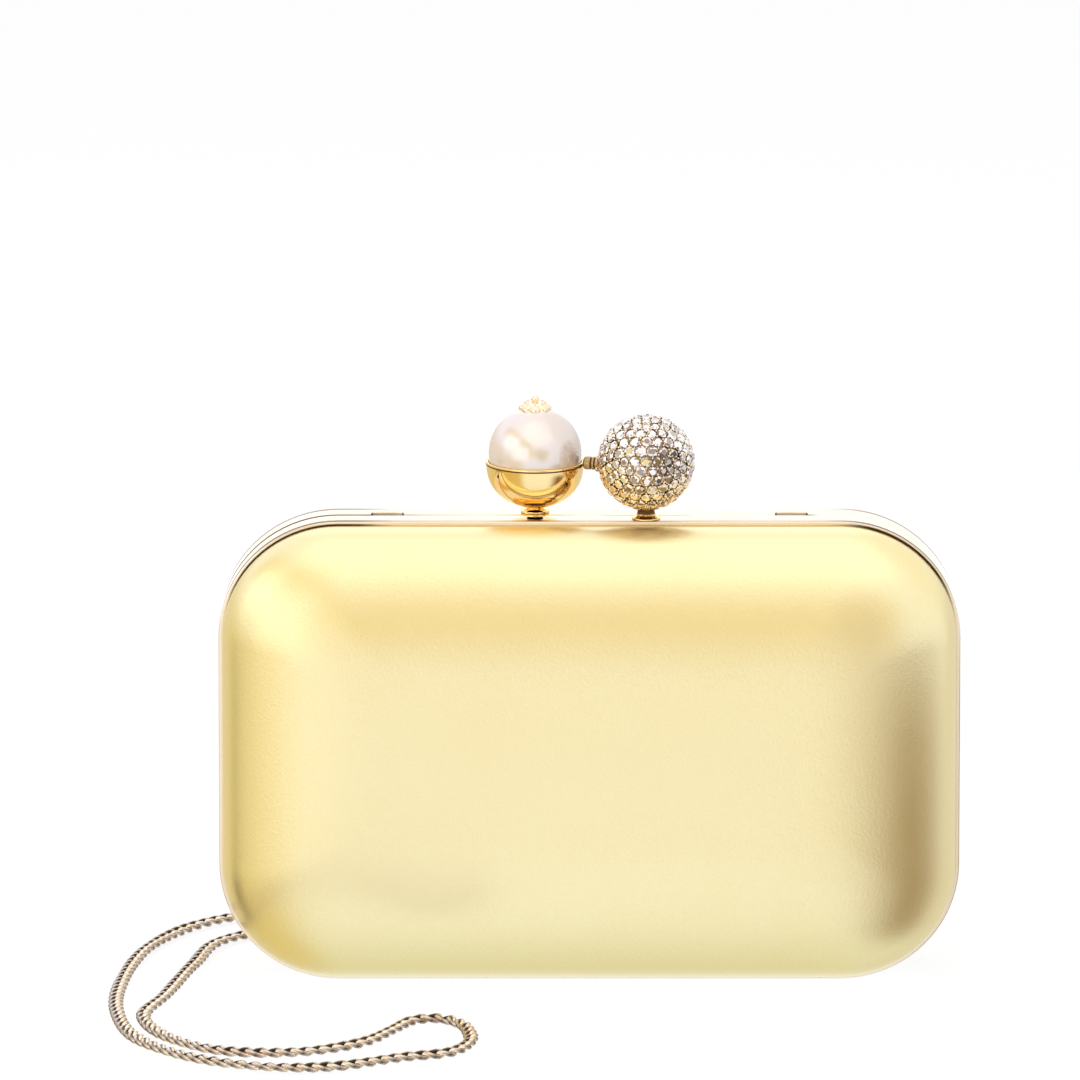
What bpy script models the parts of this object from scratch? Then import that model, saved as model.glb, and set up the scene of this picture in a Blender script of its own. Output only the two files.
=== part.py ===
# Hard box clutch bag with a pearl and crystal ball clasp and a loose chain strap, at life size.
# Metres, +Z up, +X along the long side, +Y towards the back of the bag.
# The two halves meet at Y = 0 and the bag stands on Z = 0. Run it with Blender.

from math import asin, atan2, cos, hypot, pi, radians, sin, sqrt, tan

import bmesh
import bpy
from mathutils import Matrix, Vector

# Driving dimensions

MM = 0.001

CASE_WIDTH = 180 * MM
CASE_HEIGHT = 114 * MM
CASE_DEPTH = 50 * MM
CORNER_RADIUS = 29 * MM  # of the outline, seen from the front
CORNER_STEPS = 6

SEAT_GAP = 0.3 * MM  # between pieces that touch
OVERRUN = 2 * MM  # how far a cutter reaches past what it cuts

# Frame: a hollow rail round the mouth of each half

PARTING_GAP = 0.3 * MM  # between the two closed frames
FRAME_DEPTH = 7.5 * MM
FRAME_WALL = 1.6 * MM
FRAME_SHELF = 1.2 * MM  # the web that the shell stands on
FRAME_EDGE = 0.4 * MM  # chamfer of the outer edges
TONGUE_WALL = 1.0 * MM  # the upright inside the shell
TONGUE_REACH = 3.5 * MM

# Shell: gold skin over a moulded core, with a lining inside

SKIN_INSET = 0.9 * MM  # how far the skin stands in from the frame's outline
SKIN_GROOVE = 0.5 * MM  # between the frame's lip and the skin
SKIN_WALL = 0.8 * MM
CORE_WALL = 1.4 * MM
LINING_WALL = 0.6 * MM
ROUNDING_REACH = 36 * MM  # how far in from the rim the shell stays rounded
ROUNDING_FULLNESS = 2.2  # 2 is an ellipse, more is squarer
ROUNDING_STEPS = 5
CROWN_RISE = 0.4 * MM  # of the nearly flat middle
CROWN_FLAT = 14 * MM  # height of the flat left in its centre
INNER_CORNER_RADIUS = 8 * MM  # of the outline where the rounding ends
FLAT_LIMIT_SHARE = 0.96  # of the half height that a corner radius may take

# Hinges under the bag

HINGE_SPACING = 76 * MM
KNUCKLE_LENGTH = 7 * MM
KNUCKLE_RADIUS = 1.6 * MM
KNUCKLE_LIFT = 0.1 * MM  # of the knuckles above the bag's base
KNUCKLE_STEPS = 16
PIN_RADIUS = 0.8 * MM
PIN_CLEARANCE = 0.15 * MM
PIN_STEPS = 12
OPENING_ANGLE = radians(50)
STOP_CLEARANCE_ANGLE = radians(2)

# Chain and where it is fixed

CHAIN_SPACING = 98 * MM  # between the two anchors, and between the two notches
NOTCH_WIDTH = 8 * MM
NOTCH_DEPTH = 3.6 * MM
CHAIN_DIAMETER = 3.75 * MM
CHAIN_SAMPLES = 2  # tube points for each point of the route
ANCHOR_INSET = 8 * MM  # of the anchors below the bag's top
ANCHOR_DISC_RADIUS = 2.6 * MM
ANCHOR_DISC_WALL = 0.7 * MM
ANCHOR_SCREW_RADIUS = 0.9 * MM
EYE_RADIUS = 1.9 * MM  # to the middle of the wire
EYE_WIRE_RADIUS = 0.7 * MM
EYE_SINK = 0.5 * MM  # of the eye into its disc
END_RING_RADIUS = 3 * MM
END_RING_WIRE_RADIUS = 0.6 * MM
END_RING_LEAN = radians(20)  # from upright, away from the bag
RING_STEPS = 14
WIRE_STEPS = 6

# The route of the chain, chosen by hand: down the back from the left anchor, round the
# left end of the bag, to the fold in front, and back outside it to the right anchor.
CHAIN_ROUTE = [
    (-49.0 * MM, 24.2 * MM, 100.6 * MM),
    (-49.0 * MM, 26.6 * MM, 92.0 * MM),
    (-49.0 * MM, 27.8 * MM, 75.0 * MM),
    (-49.4 * MM, 28.1 * MM, 16.0 * MM),
    (-53.0 * MM, 30.2 * MM, 5.2 * MM),
    (-63.0 * MM, 33.4 * MM, 1.9 * MM),
    (-78.0 * MM, 34.8 * MM, 1.9 * MM),
    (-90.8 * MM, 23.5 * MM, 1.9 * MM),
    (-96.4 * MM, 1.6 * MM, 1.9 * MM),
    (-103.0 * MM, -31.0 * MM, 1.9 * MM),
    (-107.6 * MM, -51.4 * MM, 1.9 * MM),
    (-101.5 * MM, -71.0 * MM, 1.9 * MM),
    (-88.0 * MM, -84.5 * MM, 1.9 * MM),
    (-69.4 * MM, -86.0 * MM, 1.9 * MM),
    (-54.5 * MM, -76.5 * MM, 1.9 * MM),
    (-47.2 * MM, -64.0 * MM, 1.9 * MM),
    (-42.8 * MM, -55.6 * MM, 1.9 * MM),
    (-37.0 * MM, -53.2 * MM, 1.9 * MM),
    (-31.6 * MM, -57.8 * MM, 1.9 * MM),
    (-29.0 * MM, -67.0 * MM, 1.9 * MM),
    (-29.0 * MM, -77.0 * MM, 1.9 * MM),
    (-33.6 * MM, -86.2 * MM, 1.9 * MM),
    (-44.5 * MM, -91.0 * MM, 1.9 * MM),
    (-61.0 * MM, -99.8 * MM, 1.9 * MM),
    (-76.0 * MM, -100.5 * MM, 1.9 * MM),
    (-94.4 * MM, -91.5 * MM, 1.9 * MM),
    (-108.5 * MM, -73.0 * MM, 1.9 * MM),
    (-114.2 * MM, -45.0 * MM, 1.9 * MM),
    (-113.4 * MM, -14.0 * MM, 1.9 * MM),
    (-107.6 * MM, 18.8 * MM, 1.9 * MM),
    (-96.0 * MM, 41.5 * MM, 1.9 * MM),
    (-78.0 * MM, 54.0 * MM, 1.9 * MM),
    (-40.0 * MM, 56.5 * MM, 1.9 * MM),
    (0.0 * MM, 51.5 * MM, 1.9 * MM),
    (30.0 * MM, 43.0 * MM, 1.9 * MM),
    (44.5 * MM, 34.0 * MM, 3.6 * MM),
    (48.6 * MM, 29.0 * MM, 12.0 * MM),
    (49.0 * MM, 27.8 * MM, 75.0 * MM),
    (49.0 * MM, 26.6 * MM, 92.0 * MM),
    (49.0 * MM, 24.2 * MM, 100.6 * MM),
]

# Clasp: a pearl in a cup on the back frame, a ball of stones on the front frame

PEARL_X = -13.2 * MM
PEARL_RADIUS = 11.4 * MM
PEARL_LIFT = 14.7 * MM  # of its middle above the frame
PEARL_STEPS = 11
CUP_RADIUS = 12 * MM
CUP_HEIGHT = 11.2 * MM
CUP_RIM_DROP = 1.9 * MM  # of the rim below the pearl's middle
CUP_BELLY = 2.5  # exponents of the bowl's profile
CUP_SHOULDER = 0.5
CUP_CUT_SHARE = 0.97  # of the full bowl, where its neck cuts it off
CUP_STEPS = 8
CUP_LINER_STEPS = 5
PEARL_NECK_RADIUS = 1.75 * MM
FOOT_RADIUS = 3.5 * MM
FOOT_EDGE = 0.25 * MM
FLARE_STEPS = 3
SPINDLE_RADIUS = 0.7 * MM  # the peg through the pearl
FINIAL_RADIUS = 4 * MM
FINIAL_EDGE = 0.5 * MM
FINIAL_DOME = 0.8 * MM
FINIAL_WAIST_RADIUS = 0.7 * MM
FINIAL_BEAD_RADIUS = 1.0 * MM
FINIAL_STEPS = 4

CRYSTAL_X = 13.7 * MM
CRYSTAL_RADIUS = 11.6 * MM  # over the points of the stones
CRYSTAL_LIFT = 14.3 * MM
STONE_CUTS = 4  # gives 252 stones
STONE_HEIGHT = 0.45 * MM
CRYSTAL_NECK_RADIUS = 2.2 * MM
CRYSTAL_WAIST_RADIUS = 1.9 * MM
CRYSTAL_PEG_RADIUS = 1.0 * MM
CRYSTAL_PEG_REACH = 5.3 * MM  # into the ball
ESCUTCHEON_HEIGHT = 0.65 * MM
ESCUTCHEON_EDGE = 0.2 * MM
ESCUTCHEON_TOP_RADIUS = 2.3 * MM

FINGER_LIFT = 12.9 * MM  # of its axis above the frame
FINGER_RADIUS = 1.6 * MM
FINGER_TIP_RADIUS = 1.0 * MM
FINGER_GROOVE = 0.25 * MM
FINGER_GROOVE_WIDTH = 0.3 * MM
FINGER_COLLAR_RADIUS = 1.9 * MM
FINGER_COLLAR = 0.8 * MM
FINGER_BAND = 0.7 * MM
FINGER_ROUNDING = 0.4 * MM
FINGER_TENON_RADIUS = 0.8 * MM
FINGER_TENON = 2 * MM

SCREW_RADIUS = 1.0 * MM
SCREW_REACH = 3.3 * MM  # of the screws below the frame's wall
WASHER_RADIUS = 2 * MM
WASHER_WALL = 0.5 * MM
NUT_RADIUS = 1.95 * MM
NUT_HEIGHT = 1.4 * MM
NUT_SIDES = 6
TURNED_STEPS = 22
SMALL_STEPS = 16
POLE_SHARE = 0.001  # of a radius, where a profile starts beside its axis

# Places worked out from the sizes above

HALF_WIDTH = CASE_WIDTH / 2
HALF_HEIGHT = CASE_HEIGHT / 2
HALF_DEPTH = CASE_DEPTH / 2
HALF_PARTING = PARTING_GAP / 2
BAND_MIDDLE = FRAME_DEPTH / 2  # depth at which the clasp stands
SKIN_RIM = FRAME_DEPTH + SKIN_GROOVE
SHELL_RISE = HALF_DEPTH - SKIN_RIM - CROWN_RISE
CORE_OFFSET = SKIN_WALL + SEAT_GAP
LINING_OFFSET = CORE_OFFSET + CORE_WALL + SEAT_GAP
TONGUE_TOP = FRAME_DEPTH + TONGUE_REACH
SHELF_UNDER = FRAME_DEPTH - FRAME_SHELF
ROUNDING_END = SKIN_INSET + ROUNDING_REACH
CROWN_INSET = HALF_HEIGHT - CROWN_FLAT / 2
HINGE_HEIGHT = KNUCKLE_RADIUS + KNUCKLE_LIFT
RELIEF_ANGLE = OPENING_ANGLE / 2 + STOP_CLEARANCE_ANGLE / 2
REAR, FRONT = 1, -1

parts = bpy.data.collections.new("clutch_bag")
cutters = bpy.data.collections.new("cutters")


def clear_scene():
    for thing in list(bpy.data.objects):
        bpy.data.objects.remove(thing, do_unlink=True)
    bpy.context.scene.collection.children.link(parts)
    bpy.context.scene.collection.children.link(cutters)


def make_material(name, colour, roughness, metallic=0.0, alpha=1.0):
    material = bpy.data.materials.new(name)
    material.use_nodes = True
    shader = material.node_tree.nodes["Principled BSDF"]
    shader.inputs["Base Color"].default_value = (*colour, 1.0)
    shader.inputs["Roughness"].default_value = roughness
    shader.inputs["Metallic"].default_value = metallic
    shader.inputs["Alpha"].default_value = alpha
    return material


# Shared shape tools


def add_object(name, mesh, material=None):
    """Links a mesh as a part, or as a cutter when it has no material."""
    thing = bpy.data.objects.new(name, mesh)
    if material is None:
        cutters.objects.link(thing)
        thing.hide_render = True
        thing.display_type = "WIRE"
    else:
        parts.objects.link(thing)
        mesh.materials.append(material)
        mesh.shade_smooth()
        mesh.set_sharp_from_angle(angle=radians(35))
    return thing


def mesh_from(name, shape):
    mesh = bpy.data.meshes.new(name)
    shape.to_mesh(mesh)
    shape.free()
    return mesh


def change(thing, cutter, operation="DIFFERENCE"):
    step = thing.modifiers.new(cutter.name, "BOOLEAN")
    step.operation = operation
    step.object = cutter


def turned(name, profile, material, steps=TURNED_STEPS, ring=False):
    """A profile of (radius, height), from top to bottom outside, turned round Z."""
    mesh = bpy.data.meshes.new(name)
    points = [(radius, 0, height) for radius, height in profile]
    edges = [(k, k + 1) for k in range(len(points) - 1)]
    if ring:
        edges.append((len(points) - 1, 0))
    mesh.from_pydata(points, edges, [])
    thing = add_object(name, mesh, material)
    screw = thing.modifiers.new("turn", "SCREW")
    screw.steps = screw.render_steps = steps
    screw.use_merge_vertices = True
    screw.merge_threshold = SEAT_GAP * POLE_SHARE
    return thing


def cylinder_into(shape, radius, length, place, steps):
    """Adds a closed cylinder to a bmesh. Place turns its Z axis and moves its middle."""
    bmesh.ops.create_cone(
        shape,
        cap_ends=True,
        segments=steps,
        radius1=radius,
        radius2=radius,
        depth=length,
        matrix=place,
    )


def along_x(x, y, z):
    return Matrix.Translation((x, y, z)) @ Matrix.Rotation(pi / 2, 4, "Y")


def upright(x, y, z):
    return Matrix.Translation((x, y, z))


def torus_mesh(name, radius, wire_radius, around=RING_STEPS, across=WIRE_STEPS):
    """A ring round Z as two nested loops of points."""
    rings = []
    for i in range(around):
        turn = 2 * pi * i / around
        ring = []
        for j in range(across):
            roll = 2 * pi * j / across
            out = radius + wire_radius * cos(roll)
            ring.append((out * cos(turn), out * sin(turn), wire_radius * sin(roll)))
        rings.append(ring)
    return loft_mesh(name, rings, closed=True)


def loft_mesh(name, rings, cap=False, closed=False):
    """Joins rings of as many points each. Closed joins the last ring to the first."""
    count = len(rings[0])
    points = [point for ring in rings for point in ring]
    faces = []
    for row in range(len(rings) if closed else len(rings) - 1):
        here = row * count
        there = (row + 1) % len(rings) * count
        for k in range(count):
            after = (k + 1) % count
            faces.append((here + k, here + after, there + after, there + k))
    if cap:
        faces.append(tuple((len(rings) - 1) * count + k for k in range(count)))
    shape = bmesh.new()
    mesh = bpy.data.meshes.new(name)
    mesh.from_pydata(points, [], faces)
    shape.from_mesh(mesh)
    if closed:
        bmesh.ops.recalc_face_normals(shape, faces=shape.faces)
    shape.to_mesh(mesh)
    shape.free()
    return mesh


# The outline of the bag and the section of its shells


def corner_radius(inset):
    """Falls one for one with the inset at the rim, and levels out where the rounding ends."""
    span = CORNER_RADIUS - INNER_CORNER_RADIUS
    left = max(0.0, 1 - inset / ROUNDING_END)
    radius = INNER_CORNER_RADIUS + span * left ** (ROUNDING_END / span)
    return min(radius, FLAT_LIMIT_SHARE * (HALF_HEIGHT - inset))


def outline(side, inset, depth):
    """A rounded rectangle, inset from the bag's outline, that runs clockwise seen from the front."""
    radius = corner_radius(inset)
    across = HALF_WIDTH - inset - radius
    up = HALF_HEIGHT - inset - radius
    points = []
    for corner, (east, north) in enumerate([(1, 1), (1, -1), (-1, -1), (-1, 1)]):
        for step in range(CORNER_STEPS + 1):
            turn = pi / 2 * (corner + step / CORNER_STEPS)
            x = east * across + radius * sin(turn)
            z = HALF_HEIGHT + north * up + radius * cos(turn)
            points.append((x, side * depth, z))
    return points if side == REAR else points[::-1]


def section_point(turn, offset):
    """A point of the shell's section, (inset, depth), moved in by offset square to it."""
    power = 2 / ROUNDING_FULLNESS
    inset = SKIN_INSET + ROUNDING_REACH * (1 - cos(turn) ** power)
    depth = SKIN_RIM + SHELL_RISE * sin(turn) ** power
    normal = Vector((-(cos(turn) ** (2 - power)) / ROUNDING_REACH, sin(turn) ** (2 - power) / SHELL_RISE))
    normal.normalize()
    return inset - offset * normal.x, depth - offset * normal.y


def shell_section(offset):
    quarter = [pi / 2 * k / ROUNDING_STEPS for k in range(ROUNDING_STEPS)]
    points = [section_point(turn, offset) for turn in quarter]
    points.append((ROUNDING_END, HALF_DEPTH - CROWN_RISE - offset))
    points.append((CROWN_INSET, HALF_DEPTH - offset))
    return points


def tongue_inset():
    """How far in the tongue stands, so that its top just clears the core's first inner facet."""
    rim, after = [Vector(point) for point in shell_section(CORE_OFFSET)[:2]]
    along = (after - rim).normalized()
    start = rim + CORE_WALL * Vector((along.y, -along.x))
    return start.x + (TONGUE_TOP - start.y) * along.x / along.y + SEAT_GAP


def shell_surface(inset):
    """The skin's depth at an inset, and its slope there as an angle from the bag's face."""
    reach = (1 - (inset - SKIN_INSET) / ROUNDING_REACH) ** ROUNDING_FULLNESS
    rise = (1 - reach) ** (1 / ROUNDING_FULLNESS)
    across = reach ** (1 - 1 / ROUNDING_FULLNESS) / ROUNDING_REACH
    out = rise ** (ROUNDING_FULLNESS - 1) / SHELL_RISE
    return SKIN_RIM + SHELL_RISE * rise, atan2(across, out)


def make_shell(name, side, section, wall, material):
    rings = [outline(side, inset, depth) for inset, depth in section]
    thing = add_object(name, loft_mesh(name, rings, cap=True), material)
    solid = thing.modifiers.new("wall", "SOLIDIFY")
    solid.thickness = wall
    solid.offset = -1
    solid.use_even_offset = True
    return thing


def make_shells(side, prefix, materials):
    """Skin, core and lining of one half, each a loft with a wall."""
    skin = make_shell(prefix + "_cover", side, shell_section(0), SKIN_WALL, materials["skin"])
    core = make_shell(prefix + "_core", side, shell_section(CORE_OFFSET), CORE_WALL, materials["core"])
    rim = tongue_inset() + TONGUE_WALL + SEAT_GAP
    section = [(rim, SHELF_UNDER + SEAT_GAP), (rim, TONGUE_TOP)]
    section += [point for point in shell_section(LINING_OFFSET) if point[0] > rim + LINING_WALL]
    make_shell(prefix + "_lining", side, section, LINING_WALL, materials["lining"])
    return skin, core


# Frames with their hinge knuckles


def knuckle_middles(side):
    """X of the knuckles: the front half has the middle one of each hinge, the rear the outer two."""
    middles = []
    for hinge in (-HINGE_SPACING / 2, HINGE_SPACING / 2):
        if side == FRONT:
            middles.append(hinge)
        else:
            pitch = KNUCKLE_LENGTH + SEAT_GAP
            middles += [hinge - pitch, hinge + pitch]
    return middles


def make_knuckles(name, side, radius, length):
    shape = bmesh.new()
    for x in knuckle_middles(side):
        cylinder_into(shape, radius, length, along_x(x, 0, HINGE_HEIGHT), KNUCKLE_STEPS)
    return add_object(name, mesh_from(name, shape))


def make_stop_relief():
    """A wedge under the hinge axis. The frames turn through it until they meet."""
    tip = HINGE_HEIGHT + HALF_PARTING / tan(RELIEF_ANGLE)
    foot = HALF_PARTING + (HINGE_HEIGHT + OVERRUN) * tan(RELIEF_ANGLE)
    section = [(0, tip), (-foot, -OVERRUN), (foot, -OVERRUN)]
    shape = bmesh.new()
    near = [shape.verts.new((-HALF_WIDTH, y, z)) for y, z in section]
    shape.faces.new(near)
    far = bmesh.ops.extrude_face_region(shape, geom=shape.faces[:])["geom"]
    moved = [part for part in far if isinstance(part, bmesh.types.BMVert)]
    bmesh.ops.translate(shape, verts=moved, vec=(CASE_WIDTH, 0, 0))
    bmesh.ops.recalc_face_normals(shape, faces=shape.faces)
    return add_object("stop_relief", mesh_from("stop_relief", shape))


def make_pin_bores():
    shape = bmesh.new()
    length = 3 * KNUCKLE_LENGTH + 2 * (SEAT_GAP + OVERRUN)
    for hinge in (-HINGE_SPACING / 2, HINGE_SPACING / 2):
        place = along_x(hinge, 0, HINGE_HEIGHT)
        cylinder_into(shape, PIN_RADIUS + PIN_CLEARANCE, length, place, KNUCKLE_STEPS)
    return add_object("pin_bores", mesh_from("pin_bores", shape))


def make_chain_notches():
    """Two notches in the back frame's edge, where the chain comes out of the closed bag."""
    shape = bmesh.new()
    height = FRAME_WALL + 2 * OVERRUN
    depth = NOTCH_DEPTH + OVERRUN
    for x in (-CHAIN_SPACING / 2, CHAIN_SPACING / 2):
        middle = (x, NOTCH_DEPTH - depth / 2, CASE_HEIGHT - FRAME_WALL / 2)
        size = Matrix.Diagonal((NOTCH_WIDTH, depth, height, 1))
        bmesh.ops.create_cube(shape, size=1, matrix=Matrix.Translation(middle) @ size)
    return add_object("chain_notches", mesh_from("chain_notches", shape))


def make_screw_hole(name, x, side):
    shape = bmesh.new()
    place = upright(x, side * BAND_MIDDLE, CASE_HEIGHT - FRAME_WALL / 2)
    length = FRAME_WALL + 2 * OVERRUN
    cylinder_into(shape, SCREW_RADIUS + SEAT_GAP, length, place, SMALL_STEPS)
    return add_object(name, mesh_from(name, shape))


def make_frame(name, side, material):
    tongue = tongue_inset()
    section = [
        (FRAME_EDGE, HALF_PARTING),
        (0, HALF_PARTING + FRAME_EDGE),
        (0, FRAME_DEPTH - FRAME_EDGE),
        (FRAME_EDGE, FRAME_DEPTH),
        (tongue, FRAME_DEPTH),
        (tongue, TONGUE_TOP),
        (tongue + TONGUE_WALL, TONGUE_TOP),
        (tongue + TONGUE_WALL, SHELF_UNDER),
        (FRAME_WALL, SHELF_UNDER),
        (FRAME_WALL, HALF_PARTING),
    ]
    rings = [outline(side, inset, depth) for inset, depth in section]
    return add_object(name, loft_mesh(name, rings, closed=True), material)


def make_frames(materials):
    """Both frames, cut to clear each other's knuckles and joined to their own."""
    relief = make_stop_relief()
    bores = make_pin_bores()
    room = KNUCKLE_RADIUS + SEAT_GAP
    reach = KNUCKLE_LENGTH + 2 * SEAT_GAP
    for side, prefix, x in ((REAR, "rear", PEARL_X), (FRONT, "front", CRYSTAL_X)):
        frame = make_frame(prefix + "_frame", side, materials["metal"])
        change(frame, relief)
        change(frame, make_knuckles(prefix + "_knuckle_room", -side, room, reach))
        knuckles = make_knuckles(prefix + "_knuckles", side, KNUCKLE_RADIUS, KNUCKLE_LENGTH)
        change(frame, knuckles, "UNION")
        change(frame, bores)
        change(frame, make_screw_hole(prefix + "_screw_hole", x, side))
        if side == REAR:
            change(frame, make_chain_notches())


def hang_front_half():
    """Parents everything that turns with the front frame to an empty on the hinge axis."""
    axis = bpy.data.objects.new("front_half", None)
    axis.location = (0, 0, HINGE_HEIGHT)
    moving = [thing for thing in parts.objects if thing.name.startswith(("front_", "crystal_"))]
    parts.objects.link(axis)
    for thing in moving:
        thing.parent = axis
        thing.matrix_parent_inverse = Matrix.Translation((0, 0, -HINGE_HEIGHT))


def make_hinge_pins(material):
    for name, x in (("left", -HINGE_SPACING / 2), ("right", HINGE_SPACING / 2)):
        shape = bmesh.new()
        length = 3 * KNUCKLE_LENGTH + 2 * SEAT_GAP
        cylinder_into(shape, PIN_RADIUS, length, Matrix.Rotation(pi / 2, 4, "Y"), PIN_STEPS)
        pin = add_object("hinge_pin_" + name, mesh_from("hinge_pin", shape), material)
        pin.location = (x, 0, HINGE_HEIGHT)


# Clasp


def make_fixings(prefix, x, side, material):
    """The washer and nut under the frame's wall that hold a clasp post."""
    top = -FRAME_WALL - SEAT_GAP
    bore = SCREW_RADIUS + SEAT_GAP
    under = top - WASHER_WALL
    profile = [(WASHER_RADIUS, top), (WASHER_RADIUS, under), (bore, under), (bore, top)]
    washer = turned(prefix + "_washer", profile, material, SMALL_STEPS, ring=True)
    washer.location = (x, side * BAND_MIDDLE, CASE_HEIGHT)
    nut_middle = under - SEAT_GAP - NUT_HEIGHT / 2
    shape = bmesh.new()
    cylinder_into(shape, NUT_RADIUS, NUT_HEIGHT, upright(0, 0, nut_middle), NUT_SIDES)
    nut = add_object(prefix + "_nut", mesh_from(prefix + "_nut", shape), material)
    nut.location = washer.location
    hole = bmesh.new()
    place = upright(0, 0, nut_middle)
    cylinder_into(hole, bore, NUT_HEIGHT + OVERRUN, place, SMALL_STEPS)
    cutter = add_object(prefix + "_nut_hole", mesh_from(prefix + "_nut_hole", hole))
    cutter.location = nut.location
    change(nut, cutter)


def arc(radius, middle, start, end, steps):
    """Points (radius, height) on a circle round (0, middle), angles measured from the top."""
    turns = [start + (end - start) * k / steps for k in range(steps + 1)]
    return [(radius * sin(turn), middle + radius * cos(turn)) for turn in turns]


def make_pearl_side(materials):
    place = (PEARL_X, BAND_MIDDLE, CASE_HEIGHT)
    rim = PEARL_LIFT - CUP_RIM_DROP
    bottom = rim - CUP_HEIGHT
    bore = SPINDLE_RADIUS + SEAT_GAP
    bowl = []
    for k in range(CUP_STEPS + 1):
        share = CUP_CUT_SHARE * k / CUP_STEPS
        radius = CUP_RADIUS * (1 - share**CUP_BELLY) ** CUP_SHOULDER
        bowl.append((radius, rim - CUP_HEIGHT * k / CUP_STEPS))
    seat = PEARL_RADIUS + SEAT_GAP
    edge = pi / 2 + asin(CUP_RIM_DROP / seat)
    inside = arc(seat, PEARL_LIFT, pi - asin(bore / seat), edge, CUP_LINER_STEPS)
    cup = turned("pearl_cup", bowl + [(bore, bottom)] + inside, materials["metal"], ring=True)
    cup.location = place

    hole = asin(bore / PEARL_RADIUS)
    skin = arc(PEARL_RADIUS, PEARL_LIFT, hole, pi - hole, PEARL_STEPS)
    pearl = turned("pearl", skin, materials["pearl"], ring=True)
    pearl.location = place

    crown = seat * cos(asin(FINIAL_RADIUS / seat)) + PEARL_LIFT
    top = PEARL_LIFT + seat
    waist = top + FINIAL_DOME
    bead = waist + sqrt(FINIAL_BEAD_RADIUS**2 - FINIAL_WAIST_RADIUS**2)
    waist_turn = pi - asin(FINIAL_WAIST_RADIUS / FINIAL_BEAD_RADIUS)
    profile = arc(FINIAL_BEAD_RADIUS, bead, 0, waist_turn, FINIAL_STEPS)
    for k in range(1, FINIAL_STEPS + 1):
        turn = pi / 2 * k / FINIAL_STEPS
        out = FINIAL_WAIST_RADIUS + (FINIAL_RADIUS - FINIAL_WAIST_RADIUS) * sin(turn)
        profile.append((out, crown + FINIAL_EDGE + (waist - crown - FINIAL_EDGE) * cos(turn)))
    profile += arc(seat, PEARL_LIFT, asin(FINIAL_RADIUS / seat), 0, FINIAL_STEPS - 2)
    finial = turned("pearl_finial", profile, materials["metal"], SMALL_STEPS)
    finial.location = place

    neck_top = bottom - SEAT_GAP
    spindle_top = PEARL_LIFT + PEARL_RADIUS
    foot_top = SEAT_GAP + FOOT_EDGE
    flare = []
    for k in range(FLARE_STEPS + 1):
        turn = pi / 2 * k / FLARE_STEPS
        out = PEARL_NECK_RADIUS + (FOOT_RADIUS - PEARL_NECK_RADIUS) * (1 - cos(turn))
        flare.append((out, neck_top - (neck_top - foot_top) * sin(turn)))
    profile = [(0, spindle_top), (SPINDLE_RADIUS, spindle_top), (SPINDLE_RADIUS, neck_top)]
    profile += flare + screw_end(FOOT_RADIUS)
    post = turned("pearl_post", profile, materials["metal"], SMALL_STEPS)
    post.location = place
    make_fixings("pearl", PEARL_X, REAR, materials["steel"])


def screw_end(radius, seat=SEAT_GAP):
    """The end of a post's profile: its underside and the screw through the frame."""
    tip = -FRAME_WALL - SCREW_REACH
    return [(radius, seat), (SCREW_RADIUS, seat), (SCREW_RADIUS, tip), (0, tip)]


def stone_ball_mesh(name):
    """Six-sided stones, packed as the corners of a divided icosahedron, with their points outwards."""
    base = CRYSTAL_RADIUS - STONE_HEIGHT
    shape = bmesh.new()
    bmesh.ops.create_icosphere(shape, subdivisions=1, radius=base)
    bmesh.ops.subdivide_edges(shape, edges=shape.edges, cuts=STONE_CUTS, use_grid_fill=True)
    for vert in shape.verts:
        vert.co = vert.co.normalized() * base
    middles = {}
    stones = bmesh.new()
    for edge in shape.edges:
        middle = (edge.verts[0].co + edge.verts[1].co).normalized() * base
        middles[edge] = stones.verts.new(middle)
    for face in shape.faces:
        stones.faces.new([middles[edge] for edge in face.edges])
    for vert in shape.verts:
        tip = stones.verts.new(vert.co.normalized() * CRYSTAL_RADIUS)
        for face in vert.link_faces:
            ends = [middles[edge] for edge in face.edges if vert in edge.verts]
            stones.faces.new([tip, *ends])
    bmesh.ops.recalc_face_normals(stones, faces=stones.faces)
    shape.free()
    return mesh_from(name, stones)


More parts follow.
